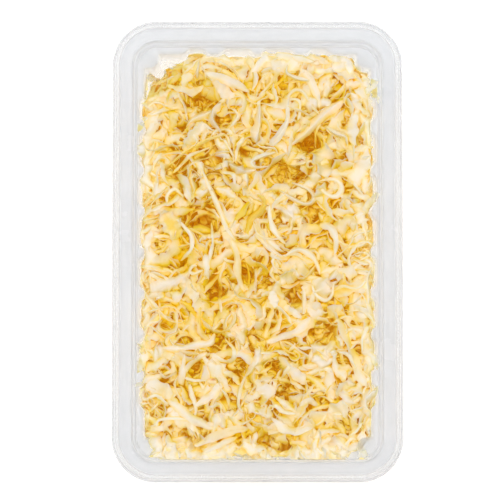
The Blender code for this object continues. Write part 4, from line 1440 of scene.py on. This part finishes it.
def cabbage(name, roughness=0.38, fineness=1.0):
    """Wet cabbage with painted shade: cream in the open, golden in the crevices, brown in the pits."""
    made, tree, shader = new_material(name)
    shader.inputs["Roughness"].default_value = roughness
    shader.inputs["IOR"].default_value = 1.4
    shader.inputs["Specular Tint"].default_value = (*WET_TINT, 1.0)
    shader.inputs["Specular IOR Level"].default_value = GLOSS
    shader.inputs["Subsurface Weight"].default_value = 1.0
    shader.inputs["Subsurface Radius"].default_value = WANDER_COLOURS
    shader.inputs["Subsurface Scale"].default_value = WANDER
    tone = add(tree, "ShaderNodeAttribute", {"attribute_name": "tone"})
    shade = add(tree, "ShaderNodeAttribute", {"attribute_name": "shade"})
    vein = add(tree, "ShaderNodeGroup", {"node_tree": veins})
    vein.inputs["Fineness"].default_value = fineness
    wander = add(tree, "ShaderNodeMath", {"operation": "MULTIPLY_ADD"})
    wander.inputs[1].default_value = BLOTCH_SHARE
    join(tree, vein, "Mask", wander, 0)
    join(tree, tone, "Fac", wander, 2)
    centre = add(tree, "ShaderNodeMath", {"operation": "SUBTRACT"})
    centre.inputs[1].default_value = BLOTCH_SHARE / 2
    join(tree, wander, 0, centre, 0)
    pale = ramp(tree, OPEN_TONES)
    shade_gold = ramp(tree, PAINTED_SHADE_TONES)
    join(tree, centre, 0, pale, "Fac")
    join(tree, centre, 0, shade_gold, "Fac")
    # Painted shade: the shade attribute blends the open tones into golden ones, and the deepest shade into
    # brown.
    into = remap(tree, shade, "Fac", SHADE_SPAN)
    blend = add(tree, "ShaderNodeMix", {"data_type": "RGBA"})
    join(tree, into, "Result", blend, "Factor")
    join(tree, pale, "Color", blend, "A")
    join(tree, shade_gold, "Color", blend, "B")
    film = remap(tree, shade, "Fac", FILM_SPAN, (FILM, 0.0))
    join(tree, film, "Result", shader, "Coat Weight")
    shader.inputs["Coat Roughness"].default_value = FILM_ROUGHNESS
    deep = remap(tree, shade, "Fac", PIT_SHADE_SPAN, (0.0, MOST_PIT_SHADE), soft=True)
    pit = add(tree, "ShaderNodeMix", {"data_type": "RGBA"})
    pit.inputs["B"].default_value = (*PAINTED_PIT_SHADE, 1.0)
    join(tree, deep, "Result", pit, "Factor")
    join(tree, blend, "Result", pit, "A")
    join(tree, pit, "Result", shader, "Base Color")
    relief = add(tree, "ShaderNodeBump", Strength=0.35, Distance=VEIN_DEPTH)
    join(tree, vein, "Height", relief, "Height")
    join(tree, relief, "Normal", shader, "Normal")
    let_lamps_through(tree, shader, LIGHT_THROUGH)
    return made


# %% Make the shreds
KIND_FINISH = {
    "broad_shreds": cabbage("pale_cabbage"),
    "narrow_shreds": cabbage("straw_cabbage"),
    "forked_shreds": cabbage("torn_cabbage"),
    "fine_threads": cabbage("yellow_cabbage", roughness=0.34, fineness=1.6),
    "leaf_pieces": cabbage("leaf_cabbage", roughness=0.42, fineness=0.7),
}
KIND_ACROSS = {"broad_shreds": 2, "narrow_shreds": 2, "forked_shreds": 3, "fine_threads": 1, "leaf_pieces": 4}
for name, strands in laid.items():
    slit = name == "forked_shreds"
    bend_strips(name, strands, lying(strands), KIND_ACROSS[name], KIND_FINISH[name], slit)

# %% [markdown]
# ## Shreds against the wall
# From the side, the cabbage is seen through the plastic: pale shreds pressed
# flat against the sheet, with golden gaps between them. They are the same
# strips, but their courses wander over the wall instead of over the heap. The
# wall is unrolled into a table of its own rings, and a course drawn on that
# table is read back as places in space.

# %% Courses on the wall
WALL_SHREDS = 860
WALL_LEVELS = np.array([1.6, 2.6, 4.4, 7.0, 12.0, 18.0, 24.0, 30.0, 36.0, 42.0]) * MM
STATION_STEP = 0.95 * MM
LOWEST_COURSE = 2.2 * MM
HIGHEST_COURSE = 37.5 * MM
WALL_LENGTH = (14, 36)
WALL_HALF_WIDTH = (1.0, 3.0)
WALL_THICK = 0.6 * MM
WALL_DEPTH = 0.8 * MM
PRESSED_GAP = 0.3 * MM
INWARDS = 0.97
wall_rings = np.stack([wall_ring(level) for level in WALL_LEVELS])
for _ in range(3):
    wall_rings = 0.25 * np.roll(wall_rings, 1, 1) + 0.5 * wall_rings + 0.25 * np.roll(wall_rings, -1, 1)


def on_wall(run, height):
    """Plan points of the wall at distances round it and heights up it."""
    count = wall_rings.shape[1]
    level = np.interp(height, WALL_LEVELS, np.arange(len(WALL_LEVELS)))
    low = np.minimum(level.astype(int), len(WALL_LEVELS) - 2)
    station = (run / STATION_STEP) % count
    first = station.astype(int) % count
    after = (first + 1) % count
    rise = (level - low)[..., None]
    ahead = (station - np.floor(station))[..., None]
    lower = wall_rings[low, first] * (1 - ahead) + wall_rings[low, after] * ahead
    upper = wall_rings[low + 1, first] * (1 - ahead) + wall_rings[low + 1, after] * ahead
    return lower * (1 - rise) + upper * rise


def wall_shreds():
    """Shreds pressed against the wall, with their courses and a painted shade that grows with how deep they
    lie.
    """
    rng = np.random.default_rng(SEED + 1)
    round_wall = wall_rings.shape[1] * STATION_STEP
    strands, runs, heights, depths = [], [], [], []
    for _ in range(WALL_SHREDS):
        length = rng.uniform(*WALL_LENGTH) * MM
        plan = curled_plan(rng, length, rng.normal(0, 1.3), rng.normal(0, 0.5))
        plan = turned(plan, rng.normal(0, 0.9) + math.pi * rng.integers(0, 2))
        run = plan[:, 0] + rng.uniform(0, round_wall)
        height = plan[:, 1] + rng.uniform(1, 37) * MM
        height = LOWEST_COURSE + np.abs(height - LOWEST_COURSE)
        height = HIGHEST_COURSE - np.abs(HIGHEST_COURSE - height)
        size = rng.uniform(*WALL_HALF_WIDTH) * MM
        strands.append({
            "half_width": size * (1 - 0.7 * np.abs(2 * ALONG - 1) ** 3), "length": length,
            "tone": rng.random(), "cup": rng.normal(0, 0.05), "slant": rng.normal(0, 0.6),
            "thick": WALL_THICK, "ruffle": 0.0, "phase": rng.random(), "seed": rng.uniform(0, 100),
        })
        runs.append(run)
        heights.append(height)
        depths.append(rng.uniform(0.05, 1.0))
    runs, heights, depths = np.array(runs), np.array(heights), np.array(depths)
    flat = on_wall(runs, heights)
    level = goal[cells(flat[..., 0] * INWARDS, flat[..., 1] * INWARDS)]
    covered = np.all(heights < level, axis=1)
    strands = [strand for strand, under in zip(strands, covered) if under]
    runs, heights, depths, flat = runs[covered], heights[covered], depths[covered], flat[covered]
    tangent = unit(on_wall(runs + STATION_STEP, heights) - on_wall(runs - STATION_STEP, heights))
    out = unit(np.stack([tangent[..., 1], -tangent[..., 0], np.full(runs.shape, -WALL_LEAN)], -1))
    centre = np.concatenate([flat, heights[..., None]], -1)
    centre = centre - out * (PRESSED_GAP - PRESS + depths[:, None, None] * WALL_DEPTH)
    ahead = unit(np.gradient(centre, axis=1))
    wide = unit(np.cross(out, ahead))
    # Painted shade: a shred lying deeper behind the others is given more shade, so its colour goes golden.
    return strands, (centre, ahead, wide, out), 0.10 + 0.35 * depths


strands, course, shade = wall_shreds()
bend_strips("wall_shreds", strands, course, 2, cabbage("pressed_cabbage", roughness=0.45), shade=shade)

# %% [markdown]
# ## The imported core
# Below the loose shreds the cabbage is packed tight. Only a little of it shows,
# deep in the crevices and through the wall. It is one closed form: rings that
# start at the floor, climb just inside the wall, and close over the top, which
# takes its heights from the same map that the shreds lie on. A ring has one line
# for all its heights. So in the far left corner, where the heap slumps deepest,
# the core comes up to three millimetres through the leaning wall.

# %% Make the core
CORE_GAP = 0.5 * MM
CORE_RINGS = 46
CORE_WALL_RINGS = 14
CORE_WALL_TOP = 36 * MM
CORE_EDGE_LEVEL = 34 * MM
EVERY = 2


def core_surface():
    """The core as a closed mesh of rings."""
    bm = bmesh.new()
    floor = wall_ring(FLOOR_LEVEL, CORE_GAP)[::EVERY]
    bottom = FLOOR_LEVEL + 0.1 * MM
    ring = first_ring(bm, floor * 0.5, bottom)
    under = ring
    for share in (0.8, 0.96):
        ring = next_ring(bm, ring, floor * share, bottom)
    edge_line = wall_ring(CORE_EDGE_LEVEL, CORE_GAP)[::EVERY]
    edge_level = np.minimum(core_top[cells(edge_line[:, 0], edge_line[:, 1])], CORE_WALL_TOP)
    for share in np.linspace(0.02, 1.0, CORE_WALL_RINGS):
        heights = FLOOR_LEVEL + share * (edge_level - FLOOR_LEVEL)
        level = float(np.mean(heights))
        ring = next_ring(bm, ring, wall_ring(level, CORE_GAP)[::EVERY], level)
        for vertex, height in zip(ring, heights):
            vertex.co.z = height
    outline = wall_ring(float(np.mean(edge_level)), CORE_GAP)[::EVERY]
    for share in np.linspace(1.0, 0.0, CORE_RINGS)[1:-1]:
        ring = next_ring(bm, ring, outline * share, 0.0)
        for vertex in ring:
            vertex.co.z = float(core_top[cells(vertex.co.x, vertex.co.y)])
    bmesh.ops.contextual_create(bm, geom=ring)
    bmesh.ops.contextual_create(bm, geom=under)
    upright = {"use_axis_x": False, "use_axis_y": False, "use_axis_z": True}
    bmesh.ops.smooth_vert(bm, verts=bm.verts, factor=0.3, **upright)
    return bm


core = piece_from(core_surface(), "packed_core", cabbage("packed_cabbage"))
count = len(core.data.vertices)
spot = np.zeros(count * 3, np.float32)
core.data.vertices.foreach_get("co", spot)
spot = spot.reshape(count, 3)
store(core, "tone", "FLOAT", 0.6 + 0.5 * smooth_noise(spot[:, 0], spot[:, 1], 3 * MM, 7.0))
inside = heap_margin(spot[:, 0], spot[:, 1]) > 3 * MM
# Painted shade: inside the heap the core is given golden to brown shade by how much sky it sees; next to the
# wall, where light comes in, only a little.
store(core, "shade", "FLOAT", np.where(inside, 0.45 + 0.35 * shaded(*spot.T), 0.12))
store(core, "grain", "FLOAT_VECTOR", spot / MM * (1.0, 0.6, 1.0))
core.data.shade_smooth()
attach(core, "root")
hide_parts("sauerkraut")
heap_parts.objects.link(core)
print("core triangles:", triangles(core))
